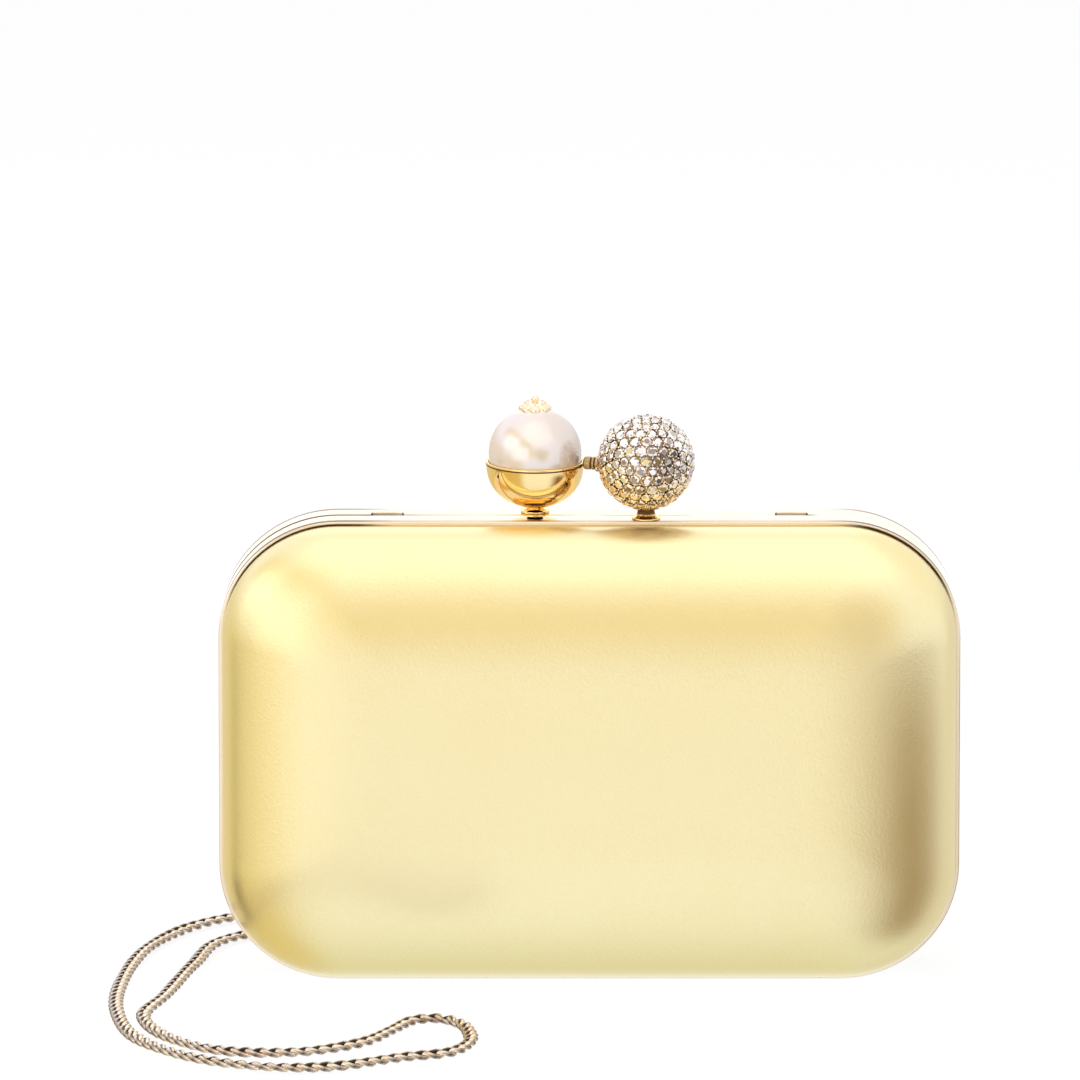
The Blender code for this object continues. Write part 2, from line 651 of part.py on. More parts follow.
def make_crystal_side(materials):
    place = Vector((CRYSTAL_X, -BAND_MIDDLE, CASE_HEIGHT))
    towards = Vector((PEARL_X, BAND_MIDDLE, 0)) - Vector((CRYSTAL_X, -BAND_MIDDLE, 0))
    turn = Matrix.Rotation(atan2(towards.y, towards.x), 4, "Z") @ Matrix.Rotation(pi / 2, 4, "Y")

    ball = add_object("crystal_ball", stone_ball_mesh("crystal_ball"), materials["crystal"])
    ball.data.shade_flat()
    ball.location = place + Vector((0, 0, CRYSTAL_LIFT))
    neck_top = CRYSTAL_LIFT - CRYSTAL_RADIUS - SEAT_GAP
    peg_top = neck_top + CRYSTAL_PEG_REACH

    hole = bmesh.new()
    low = neck_top - OVERRUN
    high = peg_top + SEAT_GAP
    middle = upright(0, 0, (low + high) / 2)
    cylinder_into(hole, CRYSTAL_PEG_RADIUS + SEAT_GAP, high - low, middle, SMALL_STEPS)
    cutter = add_object("crystal_peg_hole", mesh_from("crystal_peg_hole", hole))
    cutter.location = place
    change(ball, cutter)

    root = CRYSTAL_RADIUS + SEAT_GAP
    hole = bmesh.new()
    length = FINGER_TENON + SEAT_GAP + OVERRUN
    middle = upright(0, 0, root - FINGER_TENON - SEAT_GAP + length / 2)
    cylinder_into(hole, FINGER_TENON_RADIUS + SEAT_GAP, length, turn @ middle, SMALL_STEPS)
    cutter = add_object("crystal_tenon_hole", mesh_from("crystal_tenon_hole", hole))
    cutter.location = place + Vector((0, 0, FINGER_LIFT))
    change(ball, cutter)

    top = SEAT_GAP + ESCUTCHEON_HEIGHT
    bore = SCREW_RADIUS + SEAT_GAP
    profile = [
        (ESCUTCHEON_TOP_RADIUS, top),
        ((ESCUTCHEON_TOP_RADIUS + FOOT_RADIUS) / 2, (top + 2 * (SEAT_GAP + ESCUTCHEON_EDGE)) / 3),
        (FOOT_RADIUS, SEAT_GAP + ESCUTCHEON_EDGE),
        (FOOT_RADIUS, SEAT_GAP),
        (bore, SEAT_GAP),
        (bore, top),
    ]
    escutcheon = turned("crystal_escutcheon", profile, materials["metal"], SMALL_STEPS, ring=True)
    escutcheon.location = place

    neck_foot = top + SEAT_GAP
    profile = [
        (0, peg_top),
        (CRYSTAL_PEG_RADIUS, peg_top),
        (CRYSTAL_PEG_RADIUS, neck_top),
        (CRYSTAL_NECK_RADIUS, neck_top),
        (CRYSTAL_WAIST_RADIUS, (neck_top + neck_foot) / 2),
    ] + screw_end(CRYSTAL_NECK_RADIUS, neck_foot)
    post = turned("crystal_post", profile, materials["metal"], SMALL_STEPS)
    post.location = place

    tip = hypot(towards.x, towards.y) - CUP_RADIUS - SEAT_GAP
    finger = turned("crystal_finger", finger_profile(root, tip), materials["metal"], PIN_STEPS)
    finger.matrix_world = Matrix.Translation(place + Vector((0, 0, FINGER_LIFT))) @ turn
    make_fixings("crystal", CRYSTAL_X, FRONT, materials["steel"])


def finger_profile(root, tip):
    """From the tip back to the tenon: a rounded end, two rings and a collar against the ball."""
    waist = FINGER_RADIUS - FINGER_GROOVE
    profile = [(0, tip), (FINGER_TIP_RADIUS, tip), (FINGER_RADIUS, tip - FINGER_ROUNDING)]
    collar = root + FINGER_COLLAR
    band = collar + FINGER_GROOVE_WIDTH + FINGER_BAND
    for edge in (band, collar):
        profile += [
            (FINGER_RADIUS, edge + FINGER_GROOVE_WIDTH),
            (waist, edge + FINGER_GROOVE_WIDTH),
            (waist, edge),
        ]
        if edge == band:
            profile.append((FINGER_RADIUS, edge))
    profile += [(FINGER_COLLAR_RADIUS, collar), (FINGER_COLLAR_RADIUS, root), (FINGER_TENON_RADIUS, root)]
    return profile + [(FINGER_TENON_RADIUS, root - FINGER_TENON), (0, root - FINGER_TENON)]


# Chain, its end rings and the eyes that they hang from


def smooth_route(points, samples):
    """A centripetal Catmull-Rom curve through the points, sampled evenly between them."""
    ends = [points[0] * 2 - points[1], *points, points[-1] * 2 - points[-2]]
    curve = []
    for a, b, c, d in zip(ends, ends[1:], ends[2:], ends[3:]):
        t1 = sqrt((b - a).length)
        t2 = t1 + sqrt((c - b).length)
        t3 = t2 + sqrt((d - c).length)
        for k in range(samples):
            t = t1 + (t2 - t1) * k / samples
            ab = a.lerp(b, t / t1)
            bc = b.lerp(c, (t - t1) / (t2 - t1))
            cd = c.lerp(d, (t - t2) / (t3 - t2))
            abc = ab.lerp(bc, t / t2)
            bcd = bc.lerp(cd, (t - t1) / (t3 - t1))
            curve.append(abc.lerp(bcd, (t - t1) / (t2 - t1)))
    return [*curve, points[-1]]


def make_chain(material):
    """The chain as one plain tube along its route."""
    radius = CHAIN_DIAMETER / 2
    points = smooth_route([Vector(point) for point in CHAIN_ROUTE], CHAIN_SAMPLES)
    curve = bpy.data.curves.new("chain", "CURVE")
    curve.dimensions = "3D"
    curve.bevel_depth = radius
    curve.bevel_resolution = 2
    curve.use_fill_caps = True
    spline = curve.splines.new("POLY")
    spline.points.add(len(points) - 1)
    for slot, point in zip(spline.points, points):
        slot.co = (point.x, point.y, max(point.z, radius + POLE_SHARE * radius), 1)
    curve.materials.append(material)
    parts.objects.link(bpy.data.objects.new("chain", curve))
    length = sum((b - a).length for a, b in zip(points, points[1:]))
    print("chain length", round(length, 4))


def make_chain_fixings(side_name, x, shells, materials):
    depth, tilt = shell_surface(ANCHOR_INSET)
    normal = Vector((0, cos(tilt), sin(tilt)))
    foot = Vector((x, depth, CASE_HEIGHT - ANCHOR_INSET))
    turn = Matrix.Translation(foot) @ Matrix.Rotation(-(pi / 2 - tilt), 4, "X")
    disc_top = SEAT_GAP + ANCHOR_DISC_WALL
    tip = -SKIN_WALL - SEAT_GAP - CORE_WALL
    profile = [(0, disc_top), (ANCHOR_DISC_RADIUS, disc_top), (ANCHOR_DISC_RADIUS, SEAT_GAP)]
    profile += [(ANCHOR_SCREW_RADIUS, SEAT_GAP), (ANCHOR_SCREW_RADIUS, tip), (0, tip)]
    eye = turned("chain_eye_" + side_name, profile, materials["metal"], SMALL_STEPS)
    eye.matrix_world = turn
    eye_lift = disc_top + EYE_RADIUS + EYE_WIRE_RADIUS - EYE_SINK
    ring = add_object("eye_loop_" + side_name, torus_mesh("eye_loop", EYE_RADIUS, EYE_WIRE_RADIUS))
    ring.matrix_world = turn @ Matrix.Translation((0, 0, eye_lift)) @ Matrix.Rotation(pi / 2, 4, "Y")
    change(eye, ring, "UNION")

    hole = bmesh.new()
    length = SKIN_WALL + SEAT_GAP + CORE_WALL + 2 * OVERRUN
    place = turn @ upright(0, 0, OVERRUN - length / 2)
    cylinder_into(hole, ANCHOR_SCREW_RADIUS + SEAT_GAP, length, place, PIN_STEPS)
    cutter = add_object("anchor_hole_" + side_name, mesh_from("anchor_hole", hole))
    for shell in shells:
        change(shell, cutter)

    wire_room = EYE_RADIUS - EYE_WIRE_RADIUS - END_RING_WIRE_RADIUS - SEAT_GAP
    hang = foot + normal * eye_lift - Vector((0, 0, wire_room))
    middle = hang + END_RING_RADIUS * Vector((0, sin(END_RING_LEAN), -cos(END_RING_LEAN)))
    name = "chain_end_ring_" + side_name
    mesh = torus_mesh(name, END_RING_RADIUS, END_RING_WIRE_RADIUS)
    end_ring = add_object(name, mesh, materials["chain"])
    end_ring.matrix_world = Matrix.Translation(middle) @ Matrix.Rotation(pi / 2 + END_RING_LEAN, 4, "X")


def main():
    clear_scene()
    materials = {
        "skin": make_material("gold_leather", (0.86, 0.74, 0.42), 0.34, 0.7),
        "core": make_material("core_board", (0.42, 0.38, 0.32), 0.7),
        "lining": make_material("lining_satin", (0.55, 0.44, 0.28), 0.5),
        "metal": make_material("polished_gold", (0.9, 0.68, 0.32), 0.12, 1.0),
        "steel": make_material("pin_steel", (0.62, 0.62, 0.6), 0.3, 1.0),
        "pearl": make_material("pearl", (0.93, 0.87, 0.84), 0.18),
        "crystal": make_material("crystal", (0.9, 0.86, 0.8), 0.05, 0.0, 0.6),
        "chain": make_material("chain_gold", (0.84, 0.66, 0.46), 0.2, 1.0),
    }
    rear_shells = make_shells(REAR, "rear", materials)
    make_shells(FRONT, "front", materials)
    make_frames(materials)
    make_hinge_pins(materials["steel"])
    make_pearl_side(materials)
    make_crystal_side(materials)
    for side_name, x in (("left", -CHAIN_SPACING / 2), ("right", CHAIN_SPACING / 2)):
        make_chain_fixings(side_name, x, rear_shells, materials)
    make_chain(materials["chain"])
    hang_front_half()


main()
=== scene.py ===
# Hard clutch bag: satin gold shells in bright frames, a pearl and stone ball clasp, a curb chain.
# Metres, +X to the right, +Y to the back, +Z up. The closed halves meet at Y = 0.

from math import cos, hypot, pi, radians, sin, sqrt, tan

import bmesh
import bpy
import numpy as np
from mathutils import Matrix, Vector


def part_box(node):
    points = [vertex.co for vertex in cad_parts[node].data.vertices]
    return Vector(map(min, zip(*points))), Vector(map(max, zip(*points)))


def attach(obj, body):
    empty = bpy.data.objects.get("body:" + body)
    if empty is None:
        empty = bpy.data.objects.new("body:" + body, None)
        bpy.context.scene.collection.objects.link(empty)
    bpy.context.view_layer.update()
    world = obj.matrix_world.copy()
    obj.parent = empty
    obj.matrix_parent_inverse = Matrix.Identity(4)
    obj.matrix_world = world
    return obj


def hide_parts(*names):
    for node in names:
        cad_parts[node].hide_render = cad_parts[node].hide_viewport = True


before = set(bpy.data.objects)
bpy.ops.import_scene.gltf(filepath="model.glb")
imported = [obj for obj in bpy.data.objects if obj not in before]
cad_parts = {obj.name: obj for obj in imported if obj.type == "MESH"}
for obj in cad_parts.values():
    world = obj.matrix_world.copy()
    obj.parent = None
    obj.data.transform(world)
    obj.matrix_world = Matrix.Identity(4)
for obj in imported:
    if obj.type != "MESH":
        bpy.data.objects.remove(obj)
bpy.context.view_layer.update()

mm = 0.001
rearHalf, frontHalf = "rear_half", "front_half"
sideOf = {"front": -1, "rear": 1}

# Mesh tools. A patch is an array of points and a list of face arrays.


def gridPatch(points, loopRows=False, loopColumns=False):
    # quads between neighbours of a grid, which wraps round where a loop is asked for
    rows, columns = points.shape[:2]
    u = np.arange(rows if loopRows else rows - 1)
    v = np.arange(columns if loopColumns else columns - 1)
    u, v = np.meshgrid(u, v, indexing="ij")
    nextU, nextV = (u + 1) % rows, (v + 1) % columns
    u, nextU = u * columns, nextU * columns
    faces = np.stack([u + v, nextU + v, nextU + nextV, u + nextV], axis=-1)
    return points.reshape(-1, 3), [faces.reshape(-1, 4)]


def joined(*patches):
    # patches in one, with the faces of each counted on from the last
    points, faces, count = [], [], 0
    for patchPoints, patchFaces in patches:
        points.append(patchPoints)
        faces += [face + count for face in patchFaces]
        count += len(patchPoints)
    return np.concatenate(points), faces


def repeated(patch, spots, turns=np.eye(3)):
    # one patch at many spots, with its axes turned and scaled to the columns of a matrix
    points, faces = patch
    turns = np.broadcast_to(turns, (len(spots), 3, 3))
    moved = np.einsum("kij,nj->kni", turns, points) + spots[:, None]
    steps = np.arange(len(spots))[:, None, None] * len(points)
    return moved.reshape(-1, 3), [(face[None] + steps).reshape(-1, face.shape[1]) for face in faces]


def lengthOf(vectors):
    # the root of the sum of squares
    return np.linalg.norm(vectors, axis=-1)


def unit(vectors):
    # each vector over its length
    return vectors / lengthOf(vectors)[..., None]


def stacked(*parts):
    # arrays and single values side by side as a last axis
    return np.stack(np.broadcast_arrays(*parts), axis=-1)


def turned(turn, first, second):
    # the first direction turned towards the second
    return np.cos(turn) * first + np.sin(turn) * second


def squareTo(ahead, vectors):
    # what is left of the vectors without their share along ahead, at unit length
    return unit(vectors - np.sum(vectors * ahead, axis=-1, keepdims=True) * ahead)


def eased(share):
    # 3 t^2 - 2 t^3 between 0 and 1
    share = np.clip(share, 0, 1)
    return share * share * (3 - 2 * share)


def circle(count):
    # even angles all the way round
    return np.arange(count) * 2 * pi / count


def rounded(corners, radii, loop=False, steps=3):
    # a corner becomes the quadratic curve between the points that lie a radius away on its sides
    corner, radius = np.array(corners, float), np.array(radii, float)[:, None]
    before, after = np.roll(corner, 1, 0) - corner, np.roll(corner, -1, 0) - corner
    start, end = corner + unit(before) * radius, corner + unit(after) * radius
    t = np.linspace(0, 1, steps + 1)[:, None]
    curve = (1 - t) ** 2 * start[:, None] + 2 * t * (1 - t) * corner[:, None] + t**2 * end[:, None]
    curve = curve.reshape(-1, 2)
    return curve if loop else curve[steps:-steps]


def section(rows, loop=False):
    # a rounded profile from rows of radius, height and rounding in mm
    radius, height, rounding = np.array(rows).T * mm
    return rounded(stacked(radius, height), rounding, loop)


def polar(turn, radius, height):
    # points on a circle: radius cos, radius sin, height
    return stacked(radius * np.cos(turn), radius * np.sin(turn), height)


def arcCurve(radius, middle, start, end, steps):
    # (radius, height) on a circle round (0, middle), angles from its top
    turn = np.linspace(start, end, steps + 1)
    return stacked(radius * np.sin(turn), middle + radius * np.cos(turn))


def turnedPatch(profile, centre, steps=64, axis=(0, 0, 1), loop=False):
    # a profile of (radius, height) carried round an axis through the centre
    axis = unit(np.array(axis, float))
    first = unit(np.cross(axis, (0, 1, 0) if abs(axis[1]) < abs(axis[2]) else (0, 0, 1)))
    turn = circle(steps)[:, None, None]
    radius, height = np.array(profile).T
    out = turned(turn, first, np.cross(axis, first))
    return gridPatch(radius[:, None] * out + height[:, None] * axis + centre, True, loop)


def ringPatch(centre, first, second, radius, wire):
    # a round wire of 16 sides led round a circle in the plane of two directions
    turn, roll = circle(48)[:, None, None], circle(16)[None, :, None]
    out = turned(turn, np.array(first), np.array(second))
    points = out * (radius + wire * np.cos(roll)) + np.cross(first, second) * wire * np.sin(roll)
    return gridPatch(points + centre, True, True)


def beadPatch(radius, rows, columns):
    # half a circle turned round its ends
    return turnedPatch(arcCurve(radius, 0, 0, pi, rows), (0, 0, 0), columns)


def newMesh(name, patch):
    points, faces = patch
    corners = np.concatenate([face.ravel() for face in faces])
    sizes = np.concatenate([np.full(len(face), face.shape[1]) for face in faces])
    mesh = bpy.data.meshes.new(name)
    mesh.vertices.add(len(points))
    mesh.vertices.foreach_set("co", points.astype(np.float32).ravel())
    mesh.loops.add(len(corners))
    mesh.loops.foreach_set("vertex_index", corners.astype(np.int32))
    mesh.polygons.add(len(sizes))
    mesh.polygons.foreach_set("loop_start", (np.cumsum(sizes) - sizes).astype(np.int32))
    mesh.update(calc_edges=True)
    return mesh


def newObject(name, data):
    thing = bpy.data.objects.new(name, data)
    bpy.context.scene.collection.objects.link(thing)
    return thing


def makePiece(name, patch, body, finish, node=None, sharp=None, **marks):
    # finish is a slot of the record, which is not used here, and a material; sharp is the angle in
    # degrees past which an edge is sharp; marks are values that the material reads, one for each
    # point or each face
    mesh = newMesh(name, patch)
    for mark, values in marks.items():
        domain = "POINT" if len(values) == len(mesh.vertices) else "FACE"
        values = values.astype(np.float32)
        mesh.attributes.new(mark, "FLOAT", domain).data.foreach_set("value", values)
    work = bmesh.new()
    work.from_mesh(mesh)
    bmesh.ops.remove_doubles(work, verts=work.verts, dist=0.001 * mm)
    bmesh.ops.recalc_face_normals(work, faces=work.faces)
    work.to_mesh(mesh)
    work.free()
    mesh.shade_smooth()
    if sharp is not None:
        mesh.set_sharp_from_angle(angle=radians(sharp))
    slot, material = finish
    mesh.materials.append(material)
    piece = newObject(name, mesh)
    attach(piece, body)
    if node:
        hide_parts(node)
    return piece


# Shader tools: a Wire is one socket, and sums on it add Math nodes to its paint.


class Wire:
    def __init__(self, paint, socket):
        self.paint, self.socket = paint, socket

    def __neg__(self):
        return self * -1

    def rise(self, low, high):
        # 0 below low, 1 above high, and smooth between them
        values = {"Value": self, "From Min": low, "From Max": high}
        return self.paint.add("MapRange", values, interpolation_type="SMOOTHSTEP")

    def between(self, low, high, soft):
        return self.rise(low - soft, low + soft) * (1 - self.rise(high - soft, high + soft))


# each operator that is used, and its reflected form
operators = {"add": "ADD", "sub": "SUBTRACT", "mul": "MULTIPLY", "truediv": "DIVIDE"}
for name, kind in operators.items():
    setattr(Wire, "__%s__" % name, lambda a, b, kind=kind: a.paint.math(kind, a, b))
    setattr(Wire, "__r%s__" % name, lambda a, b, kind=kind: a.paint.math(kind, b, a))


class Paint:
    # the nodes of a material or of the world, and the coordinates that its patterns follow
    def __init__(self, owner, follow="Object"):
        owner.use_nodes = True
        self.owner, self.tree = owner, owner.node_tree
        self.shader = self.tree.nodes.get("Principled BSDF")
        self.where = self.add("TexCoord", out=follow)

    def add(self, kind, sockets=None, out=0, **settings):
        node = self.tree.nodes.new("ShaderNode" + kind)
        for name, value in settings.items():
            if name == "stops":
                ramp = node.color_ramp
                while len(ramp.elements) < len(value):
                    ramp.elements.new(0.5)
                for element, (place, colour) in zip(ramp.elements, value):
                    element.position, element.color = place, (*colour, 1)
            else:
                setattr(node, name, value)
        for name, value in (sockets or {}).items():
            self.plug(node.inputs[name], value)
        return Wire(self, node.outputs[out])

    def plug(self, socket, value):
        if isinstance(value, Wire):
            self.tree.links.new(value.socket, socket)
        else:
            socket.default_value = (*value, 1) if socket.type == "RGBA" else value

    def math(self, operation, *values):
        return self.add("Math", dict(enumerate(values)), operation=operation)

    def mix(self, share, first, second, mode="MIX"):
        values = {0: share, 6: first, 7: second}
        return self.add("Mix", values, 2, data_type="RGBA", blend_type=mode)

    def blend(self, share, first, second):
        return self.add("MixShader", {0: share, 1: first, 2: second})

    def axes(self):
        node = self.add("SeparateXYZ", {0: self.where}).socket.node
        return [Wire(self, socket) for socket in node.outputs]

    def mark(self, name):
        return self.add("Attribute", out="Fac", attribute_name=name)

    def noise(self, scale, detail, rough):
        # scale is one number, or one for each axis
        where = self.where
        if isinstance(scale, tuple):
            where, scale = self.add("Mapping", {"Vector": where, "Scale": scale}), 1
        values = {"Vector": where, "Scale": scale, "Detail": detail, "Roughness": rough}
        return self.add("TexNoise", values)

    def cover(self, values, height=None, strength=0.0, distance=0.0):
        # the shader's values, plain ones and wires, and a bump of the height
        if height:
            bump = {"Height": height, "Strength": strength, "Distance": distance}
            values = {**values, "Normal": self.add("Bump", bump)}
        for name, value in values.items():
            self.plug(self.shader.inputs[name], value)
        return self.owner


def newPaint(name):
    return Paint(bpy.data.materials.new(name))


# Paints


def goldSkinPaint():
    # fine metal flakes under a satin film, with slow shifts of tone and a few faint rubbed spots
    skin = {
        "colour": (0.96, 0.83, 0.475),
        "deep": (0.91, 0.73, 0.34),
        "roughness": 0.33,
        "flake": 2600,
        "grain": 1300,
        "grainHeight": 3.2,  # against the flakes
    }
    paint = newPaint("satin gold skin")
    flake, grain = paint.noise(skin["flake"], 2, 0.6), paint.noise(skin["grain"], 2, 0.6)
    slow, rub = paint.noise(28, 3, 0.5), paint.noise(160, 4, 0.6)
    share = (flake - 0.5) * 1.1 + (slow - 0.5) * 0.4 + 0.26
    values = {
        "Base Color": paint.mix(share.rise(0, 1), skin["colour"], skin["deep"]),
        "Roughness": skin["roughness"] + (flake - 0.5) * 0.2 + (rub - 0.5) * 0.06,
        "Metallic": 0.9,
        "Coat Weight": 0.12,
        "Coat Roughness": 0.35,
        "IOR": 1.5,
    }
    return paint.cover(values, flake + rub * 0.6 + grain * skin["grainHeight"], 0.24, 0.05 * mm)


def metalPaint(name, colour, deep, roughness, seam=None, cut=None):
    # mirror plating with a trace of polishing marks and random tarnish, darkened by painted shade
    # where that mark is set, and matt and pale on a milled cut
    paint = newPaint(name)
    lines, darkening = paint.noise((240, 900, 900), 3, 0.6), paint.noise(120, 3, 0.5)
    tint = paint.mix(darkening.rise(0.35, 0.8), colour, deep)
    rough = roughness + (lines - 0.5) * 0.05 + (darkening - 0.5) * 0.03
    metallic = 1.0
    if seam:
        # painted shade: the dark colour where the painted shade mark is set
        dark, bare = paint.mark("seam"), paint.mark("cut")
        tint = paint.mix(bare, paint.mix(dark, tint, seam), cut)
        rough = rough + bare * 0.4 + dark * 0.3
        metallic = 1 - bare * 0.45 - dark * 0.5
    values = {
        "Base Color": tint,
        "Roughness": rough,
        "Metallic": metallic,
        "IOR": 1.6,
        "Specular Tint": (0.97, 0.93, 0.88),
        "Specular IOR Level": 0.3,
    }
    return paint.cover(values, lines, 0.03, 0.02 * mm)


def pearlPaint():
    # white body under a rosy lustre, with the slow cloudiness of a real pearl
    tints = {"body": (0.86, 0.75, 0.695), "rose": (0.86, 0.71, 0.65), "cream": (0.86, 0.76, 0.64)}
    paint = newPaint("pearl lustre")
    cloud, other = paint.noise(70, 3, 0.5), paint.noise(45, 2, 0.5)
    colour = paint.mix(cloud.rise(0.4, 0.7), tints["body"], tints["rose"])
    values = {
        "Base Color": paint.mix(other.rise(0.5, 0.75) * 0.6, colour, tints["cream"]),
        "Roughness": 0.2 + (cloud - 0.5) * 0.1,
        "Metallic": 0.42,
        "Coat Weight": 0.5,
        "Coat Roughness": 0.08,
        "IOR": 1.6,
    }
    return paint.cover(values, cloud, 0.05, 0.05 * mm)


def stonePaint():
    # foiled cut glass with painted light: each facet carries its own painted highlight or painted
    # shade, for the foil behind it flashing or going dark
    # the gold that the lower stones mirror, painted into their colour
    gilt = (1.0, 0.80, 0.42)
    # from painted shade to painted highlight
    stops = [
        (0.0, (0.10, 0.065, 0.04)),
        (0.3, (0.34, 0.26, 0.21)),
        (0.5, (0.84, 0.74, 0.68)),
        (0.8, (1.0, 0.95, 0.92)),
    ]
    paint = newPaint("foiled stone")
    facetLight = paint.add("ValToRGB", {"Fac": paint.mark("tone")}, "Color", stops=stops)
    haze = paint.noise(900, 2, 0.5)
    return paint.cover({
        "Base Color": paint.mix(paint.mark("gilt"), facetLight, gilt, "MULTIPLY"),
        "Metallic": 0.88 + haze * 0.08,
        "Roughness": 0.03 + haze * 0.05,
        "Coat Weight": 0.6,
        "Coat Roughness": 0.0,
        "IOR": 1.6,
    })


def satinPaint():
    # fine ribs one way and slow ripples of the satin the other way
    satin = {"colour": (0.62, 0.47, 0.26), "light": (0.76, 0.61, 0.38), "rib": 2400}
    paint = newPaint("lining satin")
    wave = {"Vector": paint.where, "Scale": satin["rib"], "Distortion": 0.6}
    rib = paint.add("TexWave", wave, "Fac", wave_type="BANDS", bands_direction="DIAGONAL")
    ripple = paint.noise((90, 90, 30), 3, 0.5)
    values = {
        "Base Color": paint.mix(ripple.rise(0.3, 0.75), satin["colour"], satin["light"]),
        "Roughness": 0.42 + (rib - 0.5) * 0.12,
        "Metallic": 0.0,
        "Sheen Weight": 0.5,
        "Sheen Roughness": 0.4,
        "Sheen Tint": (0.95, 0.86, 0.68),
    }
    return paint.cover(values, rib * 0.25 + ripple * 2.0, 0.3, 0.2 * mm)


def boardPaint():
    # pressed fibre board
    board = {"colour": (0.40, 0.36, 0.30), "fleck": (0.26, 0.22, 0.18)}
    paint = newPaint("core board")
    fibre = paint.noise((500, 900, 500), 4, 0.6)
    values = {
        "Base Color": paint.mix(fibre.rise(0.45, 0.7), board["colour"], board["fleck"]),
        "Roughness": 0.72 + (fibre - 0.5) * 0.2,
        "IOR": 1.45,
    }
    return paint.cover(values, fibre, 0.3, 0.1 * mm)


metals = [
    # slot, name, colour, deeper tint, roughness, and the colours of the painted shade and on a cut
    ("polished_gold", "frame plating", (0.96, 0.82, 0.62), (0.93, 0.77, 0.54), 0.07,
     (0.055, 0.025, 0.008), (1.0, 0.85, 0.64)),
    # the ground under the stones: real gold, in a dark brown painted shade for the gaps between
    # them
    ("polished_gold", "setting ground", (0.46, 0.31, 0.15), (0.20, 0.12, 0.06), 0.2),
    ("polished_gold", "clasp plating", (0.98, 0.75, 0.36), (0.93, 0.62, 0.24), 0.06,
     (0.13, 0.05, 0.01), (0.98, 0.80, 0.50)),
    ("chain_gold", "chain plating", (0.97, 0.82, 0.68), (0.86, 0.66, 0.50), 0.09,
     (0.04, 0.022, 0.012), (0.97, 0.87, 0.76)),
    ("pin_steel", "fastener steel", (0.62, 0.61, 0.58), (0.48, 0.46, 0.43), 0.3),
]
frameGold, shadowGold, claspGold, chainGold, steel = (
    (slot, metalPaint(*values)) for slot, *values in metals
)
skinGold = "gold_leather", goldSkinPaint()
pearlLustre = "pearl", pearlPaint()
cutStone = "crystal", stonePaint()
satin = "lining_satin", satinPaint()
print("paints made")

# Camera and light


camera = {
    "elevation": radians(12.5),
    "distance": 4.0,
    "aim": (-12 * mm, 0, 107.8 * mm),
    "across": 262.1 * mm,  # width of the view at the aim
}


def placeCamera():
    data = bpy.data.cameras.new("camera")
    data.lens = data.sensor_width * camera["distance"] / camera["across"]
    data.clip_start, data.clip_end = 0.1, 200
    eye = newObject("camera", data)
    tilt = camera["elevation"]
    eye.location = Vector(camera["aim"]) + camera["distance"] * Vector((0, -cos(tilt), sin(tilt)))
    eye.rotation_euler = (pi / 2 - tilt, 0, 0)
    bpy.context.scene.camera = eye


# What the metal mirrors: directions are degrees to the right of the front and above the horizon.
studio = {
    "room": (1.06, 1.12, 1.25),
    "ground": (0.85, 0.92, 0.88),  # below the object
    "horizon": (-75, -30),  # heights between which the ground gives way to the room
    "ambient": 0.46,
    "boxes": [
        # left, right, low, high, softness, colour
        (60, 162, 14, 70, 14, (1.06, 1.07, 1.04)),
        (-162, -84, -90, 12, 10, (0.80, 0.74, 0.54)),
        (98, 162, -90, 10, 10, (0.82, 0.83, 0.80)),
        (-116, -32, -80, -2, 12, (0.80, 0.70, 0.36)),
        (-105, -85, -41, -15, 3, (0.05, 0.02, 0.0)),
        (-56, -18, -8, 22, 6, (1.55, 1.55, 1.55)),
        (-92, -48, 12, 38, 6, (1.6, 1.6, 1.6)),
        (-14, 34, 1, 15, 6, (0.90, 0.71, 0.15)),
        (7, 26, -8, 8, 6, (0.60, 0.47, 0.22)),
        (3, 24, 3, 20, 5, (0.76, 0.60, 0.38)),
    ],
    "top": {"towards": (0.12, -0.46, 0.88), "reach": 33, "soft": 6, "colour": (1.45, 1.42, 1.42)},
    "gap": {
        "across": (-0.647, -0.171, -0.743),
        "from": -112,
        "to": -6,
        "half": 8,
        "soft": 10,
        "colour": (0.86, 0.70, 0.28),
    },
    "back": {"low": -24, "high": 58, "from": 160, "soft": 8, "colour": (1.4, 1.42, 1.5)},
    "lampsAim": (0, 0, 60 * mm),
    "lamps": [
        # azimuth, elevation, distance, size, watts
        (-58, 34, 1.2, 0.9, 5),
        (0, 75, 1.2, 1.2, 6),
        (40, 30, 1.6, 1.2, 2.5),
    ],
}
# a low dark screen to the right, which only mirror rays meet
screen = {
    "middle": 40 * mm,
    "radius": 160 * mm,
    "arc": (0, 146, 49),  # azimuths and columns
    "rise": (-190, 80, 19),  # heights in mm and rows
    "left": (14, 50),  # azimuths between which it thins out
    "right": (44, 108),
    "top": (40, 78),  # heights in mm between which it thins out
    "bottom": (-190, -110),
    "cover": 0.96,
    "colour": (0.24, 0.13, 0.0),
}
floor = {
    "size": 60.0,
    "drop": 0.02 * mm,
    "clearX": (-112 * mm, 112 * mm),
    "clearY": (-100 * mm, 2 * mm),
    "soft": 8 * mm,
    "colour": (0.92, 0.92, 0.92),
    "glow": 1.1,
    "share": 0.8,  # of the glow in what the camera sees
}


